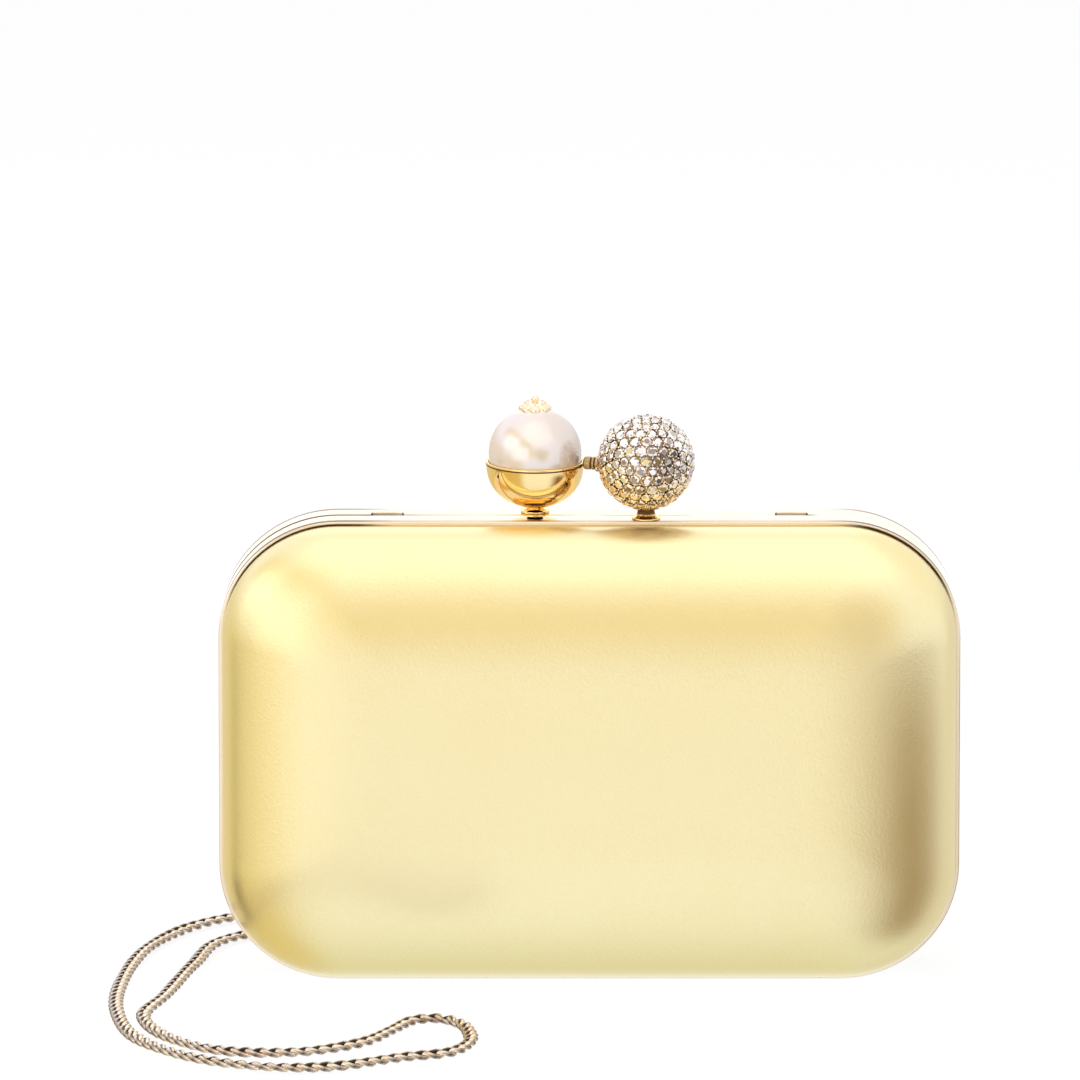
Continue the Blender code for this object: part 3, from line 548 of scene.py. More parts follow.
def lightStudio():
    # each light area is a soft mask on azimuth and height, laid over those before it
    world = bpy.data.worlds.new("studio")
    bpy.context.scene.world = world
    sky = Paint(world, "Generated")
    x, y, z = sky.axes()
    azimuth = sky.math("ARCTAN2", x, -y) * (180 / pi)
    height = sky.math("ARCSINE", z) * (180 / pi)

    def facing(towards):
        return sky.add("VectorMath", {0: sky.where, 1: towards}, "Value", operation="DOT_PRODUCT")

    back, top, gap = studio["back"], studio["top"], studio["gap"]
    soft, away = back["soft"], sky.math("ABSOLUTE", azimuth)
    behind = away.rise(back["from"] - soft, back["from"] + soft)
    start, full = (cos(radians(top["reach"] + way * top["soft"])) for way in (1, -1))
    half = sin(radians(gap["half"]))
    strip = facing(gap["across"]).between(-half, half, half * 0.7)
    areas = [
        (behind * height.between(back["low"], back["high"], soft), back["colour"]),
        (facing(top["towards"]).rise(start, full), top["colour"]),
        (strip * azimuth.between(gap["from"], gap["to"], gap["soft"]), gap["colour"]),
    ]
    for left, right, low, high, soft, tint in studio["boxes"]:
        areas.append((azimuth.between(left, right, soft) * height.between(low, high, soft), tint))
    colour = sky.mix(height.rise(*studio["horizon"]), studio["ground"], studio["room"])
    for mask, tint in areas:
        colour = sky.mix(mask, colour, tint)
    rays = ("Is Camera Ray", "Is Glossy Ray", "Is Transmission Ray")
    seen, glossy, through = (sky.add("LightPath", out=ray) for ray in rays)
    colour = sky.mix(sky.math("MAXIMUM", glossy, through), (studio["ambient"],) * 3, colour)
    colour = sky.mix(seen, colour, (1.0, 1.0, 1.0))
    sky.plug(sky.tree.nodes["Background"].inputs["Color"], colour)

    for k, (azimuth, elevation, distance, size, watts) in enumerate(studio["lamps"]):
        data = bpy.data.lights.new("softbox", "AREA")
        data.shape, data.size, data.energy = "DISK", size, watts
        lamp = newObject("softbox %d" % k, data)
        a, e = radians(azimuth), radians(elevation)
        way = Vector((sin(a) * cos(e), -cos(a) * cos(e), sin(e)))
        lamp.location = Vector(studio["lampsAim"]) + way * distance
        lamp.rotation_mode = "QUATERNION"
        lamp.rotation_quaternion = way.to_track_quat("Z", "Y")
        lamp.visible_glossy = False


def stageThing(name, patch, paint, surface):
    # a thing in the studio that isn't part of the object
    paint.plug(paint.tree.nodes["Material Output"].inputs["Surface"], surface)
    mesh = newMesh(name, patch)
    mesh.materials.append(paint.owner)
    thing = newObject(name, mesh)
    return thing


def layFloor():
    # a plain white sweep that shows as white and still takes a faint shadow; it is clear in front
    # of the bag, because the front half's lower edge swings below it when the case opens, and
    # clear from underneath
    ends = [-floor["size"], floor["size"]]
    corners = np.meshgrid(ends, ends, -floor["drop"], indexing="ij")
    patch = gridPatch(np.stack(corners, axis=-1)[:, :, 0])
    paint = newPaint("white floor")
    paint.cover({"Base Color": floor["colour"], "Roughness": 0.9, "Specular IOR Level": 0})
    glow = paint.add("Emission", {"Color": (1.0, 1.0, 1.0), "Strength": floor["glow"]})
    share = paint.add("LightPath", out="Is Camera Ray") * floor["share"]
    surface = paint.blend(share, Wire(paint, paint.shader.outputs[0]), glow)
    x, y = paint.axes()[:2]
    soft = floor["soft"]
    opening = x.between(*floor["clearX"], soft) * y.between(*floor["clearY"], soft)
    opening = paint.math("MAXIMUM", opening, paint.add("NewGeometry", out="Backfacing"))
    surface = paint.blend(opening, surface, paint.add("BsdfTransparent"))
    stageThing("floor", patch, paint, surface).visible_glossy = False


def standScreen():
    # an upright arc round the right side, opaque below and thinning out upwards and at its ends
    turn = np.radians(np.linspace(*screen["arc"]))[None, :]
    height = np.linspace(*screen["rise"])[:, None] * mm
    x, y = screen["middle"] + screen["radius"] * np.sin(turn), -screen["radius"] * np.cos(turn)
    patch = gridPatch(stacked(x, y, height))
    paint = newPaint("dark screen")
    x, y, z = paint.axes()
    azimuth = paint.math("ARCTAN2", x - screen["middle"], -y) * (180 / pi)
    height = z / mm
    cover = azimuth.rise(*screen["left"]) * (1 - azimuth.rise(*screen["right"]))
    cover = cover * (1 - height.rise(*screen["top"])) * height.rise(*screen["bottom"])
    glow = paint.add("Emission", {"Color": screen["colour"]})
    surface = paint.blend(cover * screen["cover"], paint.add("BsdfTransparent"), glow)
    card = stageThing("screen", patch, paint, surface)
    card.visible_camera = card.visible_diffuse = card.visible_shadow = False


placeCamera()
lightStudio()
layFloor()
standScreen()
bpy.context.scene.view_settings.view_transform = "Standard"
print("camera, light and floor placed")

# Chain


chain = {
    "width": 3.75 * mm,
    "wire": 1.3 * mm,
    "pitch": 3.6 * mm,
    "slack": 0.1 * mm,
    "twist": radians(48),
    "flat": 0.98 * mm,  # half the thickness left after the flats are filed
    "bare": 0.35,  # share of bare metal on the flats
    "tubeHeight": 1.9 * mm,  # of the plain tube's middle above the floor
    "lean": 0.58 * mm,  # that the leaning links need below their middle, beyond their flats
    "floor": 2 * mm,  # height up to which it lies
    "settle": 20 * mm,  # height over which it comes down to the floor
    "turnOver": 34 * mm,  # height over which the links turn flat to the floor
    "wobble": [(0.10, 210, 0), (0.08, 83, 1)],  # radians, radians to the metre, start
    "samples": 24,
}

# The route of the chain: down the back from the left eye, round the left end of the bag to the
# fold in front, and back outside it to the right eye.
chainRoute = np.array([
    (-49.0, 24.2, 100.6), (-49.0, 26.6, 92.0), (-49.0, 27.8, 75.0), (-49.4, 28.1, 16.0),
    (-53.0, 30.2, 5.2), (-63.0, 33.4, 1.9), (-78.0, 34.8, 1.9), (-90.8, 23.5, 1.9),
    (-96.4, 1.6, 1.9), (-103.0, -31.0, 1.9), (-107.6, -51.4, 1.9), (-101.5, -71.0, 1.9),
    (-88.0, -84.5, 1.9), (-69.4, -86.0, 1.9), (-54.5, -76.5, 1.9), (-47.2, -64.0, 1.9),
    (-42.8, -55.6, 1.9), (-37.0, -53.2, 1.9), (-31.6, -57.8, 1.9), (-29.0, -67.0, 1.9),
    (-29.0, -77.0, 1.9), (-33.6, -86.2, 1.9), (-44.5, -91.0, 1.9), (-61.0, -99.8, 1.9),
    (-76.0, -100.5, 1.9), (-94.4, -91.5, 1.9), (-108.5, -73.0, 1.9), (-114.2, -45.0, 1.9),
    (-113.4, -14.0, 1.9), (-107.6, 18.8, 1.9), (-96.0, 41.5, 1.9), (-78.0, 54.0, 1.9),
    (-40.0, 56.5, 1.9), (0.0, 51.5, 1.9), (30.0, 43.0, 1.9), (44.5, 34.0, 3.6),
    (48.6, 29.0, 12.0), (49.0, 27.8, 75.0), (49.0, 26.6, 92.0), (49.0, 24.2, 100.6),
]) * mm


def smoothRoute(points, samples):
    # centripetal Catmull-Rom: three rounds of blending between knots spaced by root distance
    ends = np.concatenate([[2 * points[0] - points[1]], points, [2 * points[-1] - points[-2]]])
    a, b, c, d = (ends[k : len(ends) - 3 + k, None] for k in range(4))
    t1, t2, t3 = (np.sqrt(lengthOf(step))[..., None] for step in (b - a, c - b, d - c))
    t2 = t1 + t2
    t3 = t2 + t3
    t = t1 + (t2 - t1) * (np.arange(samples) / samples)[None, :, None]
    ab, bc = a + (b - a) * t / t1, b + (c - b) * (t - t1) / (t2 - t1)
    cd = c + (d - c) * (t - t2) / (t3 - t2)
    abc, bcd = ab + (bc - ab) * t / t2, bc + (cd - bc) * (t - t1) / (t3 - t1)
    curve = abc + (bcd - abc) * (t - t1) / (t2 - t1)
    return np.concatenate([curve.reshape(-1, 3), points[-1:]])


def linkPatch():
    # an oval of wire whose plane turns as it runs along the link, with the flats filed off:
    # along is half cos^0.95 of the turn, out is wide sin^1.2
    turn = circle(12)
    half = (chain["pitch"] + chain["slack"] + chain["wire"]) / 2
    wide = (chain["width"] - chain["wire"]) / 2
    along = half * np.sign(np.cos(turn)) * np.abs(np.cos(turn)) ** 0.95
    out = wide * np.sign(np.sin(turn)) * np.abs(np.sin(turn)) ** 1.2
    twist = chain["twist"] * along / half
    line = stacked(along, out * np.cos(twist), out * np.sin(twist))
    ahead = unit(np.roll(line, -1, 0) - np.roll(line, 1, 0))
    outward = squareTo(ahead, line)
    other, roll = np.cross(ahead, outward), circle(6)[None, :, None]
    points = line[:, None] + chain["wire"] / 2 * turned(roll, outward[:, None], other[:, None])
    points[..., 2] = np.clip(points[..., 2], -chain["flat"], chain["flat"])
    # painted shade on the outer turns and inside the links, and the filed flats are bare
    side, height = np.abs(points[..., 1]) - chain["width"] / 2, np.abs(points[..., 2])
    darkening = eased(1 + side / (0.7 * mm)) * (1 - eased((height - 0.7 * mm) / (0.2 * mm)))
    darkening = np.maximum(darkening, eased(0.45 - np.cos(roll[..., 0]) * 1.2))
    filed = eased((height - chain["flat"]) / (0.02 * mm) + 1)
    return gridPatch(points, True, True), darkening.ravel(), filed.ravel()


def makeChain():
    # links at even steps along the route, flat on the back of the bag while they hang and flat on
    # the floor where they lie
    route = smoothRoute(chainRoute, chain["samples"])
    drop = chain["tubeHeight"] - chain["flat"] - chain["lean"]  # flat links lie lower than a tube
    route[:, 2] -= drop * (1 - eased((route[:, 2] - chain["floor"]) / chain["settle"]))
    run = np.append(0, np.cumsum(lengthOf(np.diff(route, axis=0))))
    count = int(round(run[-1] / chain["pitch"])) + 1
    stops = np.linspace(0, run[-1], count)
    middle = stacked(*(np.interp(stops, run, route[:, k]) for k in range(3)))
    ahead = unit(np.gradient(middle, axis=0))
    lying = 1 - eased((middle[:, 2:] - chain["floor"]) / chain["turnOver"])
    up = squareTo(ahead, (1 - lying) * np.array([0, 1, 0]) + lying * np.array([0, 0, 1]))
    side = np.cross(up, ahead)
    lean = sum(size * np.sin(stops * rate + start) for size, rate, start in chain["wobble"])
    lean = lean[:, None]
    axes = stacked(ahead, turned(lean, side, -up), turned(lean, up, side))
    link, darkening, filed = linkPatch()
    # the links' painted shade, and their bare flats
    marks = {"seam": np.tile(darkening, count), "cut": np.tile(filed * chain["bare"], count)}
    links = repeated(link, middle, axes)
    piece = makePiece("curbChain", links, rearHalf, chainGold, "chain", **marks)
    print("chain of", count, "links,", round(run[-1], 4), "m")
    return piece, route, run[-1]


def boxOf(node):
    return [np.array(corner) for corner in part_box(node)]


def makeEndRing(name, node):
    # a wire ring that leans out of the upright
    low, high = boxOf(node)
    wire, lean = 0.6 * mm, radians(20)
    down = (0, sin(lean), -cos(lean))
    patch = ringPatch((low + high) / 2, (1, 0, 0), down, (high[0] - low[0]) / 2 - wire, wire)
    return makePiece(name, patch, rearHalf, chainGold, node)


curbChain, chainPath, chainLength = makeChain()
leftRing = makeEndRing("endRingLeft", "chain_end_ring_left")
rightRing = makeEndRing("endRingRight", "chain_end_ring_right")

# Outline and section of the bag


bag = {
    "cornerRadius": 29 * mm,
    "innerCornerRadius": 8 * mm,
    "cornerSteps": 20,
    "skinInset": 0.9 * mm,
    "skinRim": 8 * mm,  # depth of the skin's rim behind the parting plane
    "tongueTop": 11 * mm,  # depth of the frame's tongue
    "reach": 36 * mm,
    "fullness": 2.2,
    "crownRise": 0.4 * mm,
    "skinWall": 0.8 * mm,
    "skinEdge": 0.22 * mm,
    "coreWall": 1.4 * mm,
    "liningWall": 0.6 * mm,
    "seat": 0.3 * mm,
}
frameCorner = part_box("front_frame")[1]
halfWidth, halfHeight, caseTop = frameCorner.x, frameCorner.z / 2, frameCorner.z
shellDepth = -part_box("front_cover")[0].y
shellRise = shellDepth - bag["skinRim"] - bag["crownRise"]
roundingEnd = bag["skinInset"] + bag["reach"]
seat = bag["seat"]


def outlineTrack(top, bottom, side):
    # rows of turn, east and north, clockwise from the front: four runs with an arc after each
    arc, one = np.linspace(0, pi / 2, bag["cornerSteps"] + 1), np.ones_like
    runs = [(top, one(top)), (one(side), -side), (-bottom, -one(bottom)), (-one(side), side)]
    legs = []
    for k, (run, (east, north)) in enumerate(zip(runs, [(1, 1), (1, -1), (-1, -1), (-1, 1)])):
        legs.append(np.array([k * pi / 2 + 0 * run[0], *run]))
        legs.append(np.array([k * pi / 2 + arc, east * one(arc), north * one(arc)]))
    return np.concatenate(legs, axis=1)


def evenPlaces(count):
    # even steps between -1 and 1, without these
    return np.linspace(-1, 1, count + 1)[1:-1]


def cornerRadius(inset):
    # one for one with the inset at the rim, levelling out where the rounding ends
    span = bag["cornerRadius"] - bag["innerCornerRadius"]
    left = np.maximum(0, 1 - inset / roundingEnd)
    radius = bag["innerCornerRadius"] + span * left ** (roundingEnd / span)
    return np.minimum(radius, 0.96 * np.maximum(0, halfHeight - inset))


def bagSurface(track, inset, depth, side):
    # a rounded rectangle at each inset and depth
    turn, east, north = track[:, :, None]
    radius = cornerRadius(inset)
    x = east * (halfWidth - inset - radius) + radius * np.sin(turn)
    z = halfHeight + north * (halfHeight - inset - radius) + radius * np.cos(turn)
    return stacked(x, side * depth, z)


def shellCurve(offset, steps=30):
    # a superellipse from the rim inwards, moved in square to itself, then the crown to the middle
    t = np.linspace(0.012, pi / 2, steps + 1)
    c, s, power = np.cos(t), np.sin(t), 2 / bag["fullness"]
    inset = bag["skinInset"] + bag["reach"] * (1 - c**power)
    depth = bag["skinRim"] + shellRise * s**power
    normal = unit(stacked(-(c ** (2 - power)) / bag["reach"], s ** (2 - power) / shellRise))
    inset, depth = inset - offset * normal[:, 0], depth - offset * normal[:, 1]
    flat = np.linspace(inset[-1], halfHeight, 11)[1:]
    inset, depth = np.append(inset, flat), np.append(depth, 0 * flat + depth[-1])
    share = (inset - bag["skinInset"]) / (halfHeight - bag["skinInset"])
    return inset, depth + bag["crownRise"] * eased(share)


shellTrack = outlineTrack(evenPlaces(18), evenPlaces(18), evenPlaces(8))

# Skins and linings


def makeShell(side, name, node, finish, *parts):
    # rows of inset and depth from the middle of the inner face to the middle of the outer one
    inset, depth = np.concatenate(parts, axis=1)
    patch = gridPatch(bagSurface(shellTrack, inset, depth, sideOf[side]), True)
    makePiece(side + name, patch, side + "_half", finish, side + node)


def makeSkin(side):
    # the inner face, a soft edge at the rim, and the outer face
    outside, inside = np.array(shellCurve(0)), np.array(shellCurve(bag["skinWall"]))
    wall, edge = bag["skinWall"], bag["skinEdge"]
    rimInset = bag["skinInset"] + np.array([wall, wall - edge, edge, edge / 3])
    rimDepth = bag["skinRim"] + np.array([edge, 0, 0, edge / 3])
    makeShell(side, "Skin", "_cover", skinGold, inside[:, ::-1], [rimInset, rimDepth], outside)


def makeLining(side):
    # over the inside of the core, then down inside the frame's tongue, with a rolled rim
    low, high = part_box(side + "_lining")
    rim, mouth = halfWidth - high.x, min(abs(low.y), abs(high.y))
    wall, top = bag["liningWall"], bag["tongueTop"]
    offset = bag["skinWall"] + bag["coreWall"] + 2 * seat
    outside, inside = np.array(shellCurve(offset)), np.array(shellCurve(offset + wall))
    outside, inside = outside[:, outside[1] > top + 0.5 * mm], inside[:, inside[1] > top]
    outside[0], inside[0] = np.maximum(outside[0], rim), np.maximum(inside[0], rim + wall)
    rimInset = rim + wall * np.array([1, 1, 0.7, 0.3, 0, 0])
    lip = mouth + 0.2 * mm
    rimDepth = [top - wall, lip, mouth, mouth, lip, top]
    makeShell(side, "Lining", "_lining", satin, inside[:, ::-1], [rimInset, rimDepth], outside)


for side in sideOf:
    makeSkin(side)
for side in sideOf:
    makeLining(side)
corePaint = boardPaint()
for side in sideOf:
    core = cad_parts[side + "_core"]
    core.data.materials.clear()
    core.data.materials.append(corePaint)
print("skins and linings made")

# Frames, hinge knuckles and pins


rail = {
    "parting": 0.15 * mm,
    "depth": 7.5 * mm,
    "wall": 1.6 * mm,
    "shelf": 1.2 * mm,
    "tongueWall": 1.0 * mm,
    "edge": 0.32 * mm,
    "notchWidth": 8 * mm,
    "notchDepth": 3.6 * mm,
    "notchSpacing": 98 * mm,
    # painted shade lines: where each starts and over how far it comes up or fades
    "lipShade": 2.0 * mm,  # of its reach behind the front edge
    "leftCorner": (42 * mm, 16 * mm),
    "rightCorner": (54 * mm, 14 * mm),
    "topCorner": (84 * mm, 18 * mm),
    "partingShade": (0.7 * mm, 0.35 * mm),
    "partingEnd": (-78 * mm, 66 * mm),
    "lipDark": {"front": (0.45, 0.5), "rear": (0, 0.8)},  # along the runs, and more at the corners
    "groove": 0.9 * mm,  # inset of the painted shade line beside the skin
    "grooveLeft": 0.38,  # mm that it starts earlier at the corners
    "grooveRight": 0.52,
    "matt": 0.6,  # of the band's front face
}
hinge = {
    "spacing": 76 * mm,
    "length": 7 * mm,
    "radius": 1.6 * mm,
    "height": 1.7 * mm,
    "bore": 0.95 * mm,
    "gap": 0.3 * mm,
    "relief": radians(26),
}


def knuckleMiddles(side):
    # of one knuckle in front and two behind at each hinge
    pitch = hinge["length"] + hinge["gap"]
    places = [0] if side == "front" else [-pitch, pitch]
    return [way * hinge["spacing"] / 2 + place for way in (-1, 1) for place in places]


def runPlaces(edges):
    # even places along a run, with the given X places added
    across = halfWidth - bag["cornerRadius"]
    return np.unique(np.round(np.append(evenPlaces(24), np.array(edges) / across), 7))


def ramp(value, place):
    # eased from 0 at a start to 1 a span further on
    start, span = place
    return eased((value - start) / span)


def railSection():
    # inset and depth round the rail: the outer face with rows for its painted shade lines, the
    # front face, the tongue, the shelf and the inner wall
    depth, edge, shelf = rail["depth"], rail["edge"], rail["depth"] - rail["shelf"]
    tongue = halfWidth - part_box("front_lining")[1].x - hinge["gap"] - rail["tongueWall"]
    inner = tongue + rail["tongueWall"]
    corners = [
        (0, rail["parting"]),
        *[(0, place * mm) for place in (0.7, 1.05)],
        *[(0, depth - share * rail["lipShade"]) for share in (1, 0.7, 0.3, 0)],
        *[(place * mm, depth) for place in (0.35, 0.5, 0.65, 0.8, 1.3, 1.6)],
        *[(tongue, depth), (tongue, bag["tongueTop"]), (inner, bag["tongueTop"]), (inner, shelf)],
        *[(rail["wall"], shelf), (rail["wall"], rail["parting"])],
    ]
    ends = [0.1 * mm, edge, edge, 0.1 * mm, 0.3 * mm, edge / 2]
    return rounded(corners, [edge, *[0] * 5, edge * 0.8, *[0] * 6, *ends], True, 4).T


def makeFrame(side):
    # a closed rail section carried round the outline; its parting edge steps back for the chain
    # notches, for the other half's knuckles and for the bevels under the hinge
    others = knuckleMiddles("rear" if side == "front" else "front")
    inset, depth = railSection()
    parting, edge, half = rail["parting"], rail["edge"], hinge["length"] / 2
    room, sharpEdge = half + hinge["gap"], 0.01 * mm
    rooms = [m + way * (room + step) for m in others for way in (-1, 1) for step in (0, sharpEdge)]
    bow = np.cos(np.linspace(0, pi, 33)) * rail["notchWidth"] / 2
    notches = [way * rail["notchSpacing"] / 2 + bow for way in (-1, 1)]
    track = outlineTrack(runPlaces(np.concatenate(notches)), runPlaces(rooms), evenPlaces(6))
    points = bagSurface(track, inset, depth, 1)
    x, y, z = np.moveaxis(points, -1, 0)

    back = parting + np.maximum(0, hinge["height"] - z) * tan(hinge["relief"])
    for middle in others:
        inRoom = (np.abs(x - middle) <= room + sharpEdge / 2) & (z < 4 * mm)
        back = np.where(inRoom, np.maximum(back, hinge["radius"] + hinge["gap"]), back)
    # a notch is a superellipse of the fourth power; share is 1 outside it
    share = np.abs(np.abs(x) - rail["notchSpacing"] / 2) / (rail["notchWidth"] / 2)
    share = np.where((z > halfHeight) & (side == "rear"), np.clip(share, 0, 1), 1)
    bitten, ends = share < 0.999, ramp(share, (0.8, 0.15)) * (share < 1)
    back = np.maximum(back, rail["notchDepth"] * (1 - share**4) ** 0.25)
    # the rest of the band closes up behind the stepped edge
    still = rail["depth"] - rail["lipShade"]
    share = np.clip((still - depth) / (still - parting - edge), 0, 1)
    points[..., 1] = (y + (back - parting) * share) * sideOf[side]

    # painted shade and painted dark reflection: lines along the parting, on the left only; on the
    # band's front edge; and beside the skin, over the top corners
    corner = np.where(x < 0, ramp(-x, rail["leftCorner"]), ramp(x, rail["rightCorner"]))
    corner = corner * ramp(z, rail["topCorner"])
    line = (1 - ramp(depth, rail["partingShade"])) * (1 - ramp(x, rail["partingEnd"]))
    lip = ramp(depth, (still, 0.3 * rail["lipShade"])) * (inset < 0.05 * mm)
    dark, more = rail["lipDark"][side]
    lip = lip * (dark + more * corner)
    face = (inset > 0.2 * mm) * (inset < 1.7 * mm) * (depth > 7 * mm)
    start = rail["groove"] - corner * np.where(x < 0, rail["grooveLeft"], rail["grooveRight"]) * mm
    groove = eased((inset - start) / (0.12 * mm) + 0.5) * corner * face
    onEdge = depth < parting + edge * 1.01
    seam = np.clip(np.maximum(line * (1 - bitten), ends * onEdge) + lip + groove, 0, 1)
    # the cut mark: the notch walls are a matt milled cut, and the band's front face beside the skin
    # is made matt and pale too
    cut = bitten * onEdge * (1 - ends) + face * (1 - groove) * rail["matt"]

    radius, bore = hinge["radius"], hinge["bore"]
    ring = [(radius, half), (radius, -half), (bore, -half), (bore, half)]
    profile = rounded(ring, [0.2 * mm, 0.2 * mm, 0.1 * mm, 0.1 * mm], True)
    places = [(middle, 0, hinge["height"]) for middle in knuckleMiddles(side)]
    knuckles = [turnedPatch(profile, place, 40, (1, 0, 0), True) for place in places]
    patch = joined(gridPatch(points, True, True), *knuckles)
    plain = np.zeros(len(patch[0]) - seam.size)
    marks = {"seam": np.append(seam, plain), "cut": np.append(cut, plain)}
    makePiece(side + "Frame", patch, side + "_half", frameGold, side + "_frame", 40, **marks)


def makePin(name, node):
    # a rod with rounded ends
    low, high = boxOf(node)
    half, radius = (high[0] - low[0]) / 2, (high[2] - low[2]) / 2
    ends = [(0, half), (radius, half), (radius, -half), (0, -half)]
    profile = rounded(ends, [0, 0.2 * mm, 0.2 * mm, 0])
    patch = turnedPatch(profile, (low + high) / 2, 32, (1, 0, 0))
    makePiece(name, patch, rearHalf, steel, node, 50)


for side in sideOf:
    makeFrame(side)
makePin("hingePinLeft", "hinge_pin_left")
makePin("hingePinRight", "hinge_pin_right")
print("frames and hinges made")

# Pearl side of the clasp


pearl = {
    "radius": 11.4 * mm,
    "lift": 14.7 * mm,  # of its middle above the frame
    "bore": 1.0 * mm,
}
cup = {
    "radius": 12 * mm,
    "height": 11.2 * mm,
    "rimDrop": 1.9 * mm,
    "belly": 2.5,
    "shoulder": 0.5,
    "cut": 0.97,
    "lip": 0.18 * mm,
    # heights under the rim at which the painted shade line round it starts, is full, fades and ends
    "groove": np.array([0.42, 0.47, 0.78, 0.84]) * mm,
}
post = {
    "neck": 1.75 * mm,
    "flare": 0.3 * mm,
    "foot": 3.5 * mm,
    "footHeight": 0.55 * mm,
    "spindle": 0.7 * mm,
    "gap": 0.05 * mm,
    "screw": 1.0 * mm,
    "reach": 3.3 * mm,  # of the screw below the frame's wall
    "thread": 0.07 * mm,
    "threadPitch": 0.4 * mm,
}
finial = {
    "gap": 0.05 * mm,
    "edge": 0.45 * mm,
    "bead": 0.95 * mm,
    "sink": 0.35 * mm,  # of the top bead in the cap
    "smallBead": 0.34 * mm,
    "ring": 0.62,  # radius of the ring of beads, as a share of the cap's
    "scallop": 0.16,  # depth, as the same share
}
fixing = {
    "gap": 0.1 * mm,
    "bore": 1.15 * mm,
    "washer": 2 * mm,
    "washerHeight": 0.5 * mm,
    "nut": 1.95 * mm,  # across its corners, halved
    "nutEnd": 1.78 * mm,  # the same where its corners are turned down
    "nutHeight": 1.4 * mm,
    "chamfer": 0.15 * mm,
}


def footOf(node):
    # the middle of a node, on top of the case
    low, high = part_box(node)
    middle = (low + high) / 2
    return np.array((middle.x, middle.y, caseTop))


pearlFoot, crystalFoot = footOf("pearl_post"), footOf("crystal_post")


def makePearl():
    # a drilled ball
    hole = np.arcsin(pearl["bore"] / pearl["radius"])
    profile = arcCurve(pearl["radius"], pearl["lift"], hole, pi - hole, 72)
    patch = turnedPatch(profile, pearlFoot, 96, loop=True)
    makePiece("pearlBead", patch, rearHalf, pearlLustre, "pearl", 40)


def makeCup():
    # outside: radius falls with the power curve r (1 - t^belly)^shoulder; inside: the pearl's seat
    rim = pearl["lift"] - cup["rimDrop"]
    share = 1 - (1 - np.linspace(0, 1, 41)) ** 1.5
    share = np.unique(np.append(share[share > 0.03], cup["groove"] / cup["height"]))
    radius = cup["radius"] * (1 - (cup["cut"] * share) ** cup["belly"]) ** cup["shoulder"]
    bowl = stacked(radius, rim - cup["height"] * share)
    inner = pearl["radius"] + 0.25 * seat
    edge = pi / 2 + np.arcsin(cup["rimDrop"] / inner)
    inside = arcCurve(inner, pearl["lift"], pi - np.arcsin(pearl["bore"] / inner), edge, 32)[:-1]
    turn, mouth = np.linspace(0, pi, 9), inner * np.sin(edge)
    wide = (cup["radius"] - mouth) / 2
    lip = stacked(mouth + wide - wide * np.cos(turn), rim - cup["lip"] * (1 - np.sin(turn)))
    bottom = [(pearl["bore"], rim - cup["height"])]
    profile = np.concatenate([lip, bowl, bottom, inside])
    patch = turnedPatch(profile, pearlFoot, 96, loop=True)
    off = patch[0] - pearlFoot
    # a painted shade line round the cup under its lip
    start, full, fade, end = cup["groove"]
    line = ramp(rim - off[:, 2], (start, full - start))
    line = line * (1 - ramp(rim - off[:, 2], (fade, end - fade)))
    line = line * (lengthOf(off[:, :2]) > inner + 0.2 * mm)
    makePiece("pearlCup", patch, rearHalf, claspGold, "pearl_cup", 35, seam=line)


def makePearlPost():
    # peg through the pearl, a waisted neck that flares to the foot, and the screw through the frame
    neck, foot, peg, gap = post["neck"], post["foot"], post["spindle"], post["gap"]
    neckTop, footTop = pearl["lift"] - cup["rimDrop"] - cup["height"] - gap, post["footHeight"]
    turn = np.linspace(0, pi / 2, 13)
    out, down = (foot - neck) * (1 - np.cos(turn)), (neckTop - footTop) * np.sin(turn)
    waist = stacked(neck + out, neckTop - down)
    top = pearl["lift"] + pearl["radius"]
    head = [(0, top), (peg, top), (peg, neckTop), (neck + post["flare"], neckTop)]
    under = rounded([(foot, footTop), (foot, gap), (0, gap)], [0.12 * mm, 0.12 * mm, 0])
    patch = turnedPatch(np.concatenate([head, waist, under[1:]]), pearlFoot)
    patch = joined(patch, screwPatch(pearlFoot))
    makePiece("pearlPost", patch, rearHalf, claspGold, "pearl_post", 40)


def screwPatch(place):
    # a threaded shank under the foot: its radius swings with the height
    radius, low = post["screw"], -rail["wall"] - post["reach"]
    height = np.linspace(0, low, 97)
    thread = radius - post["thread"] * (1 - np.cos(height / post["threadPitch"] * 2 * pi))
    shank = stacked(thread, height)
    profile = np.concatenate([[(0, 0)], shank, [(radius * 0.7, low), (0, low)]])
    return turnedPatch(profile, place, 32)


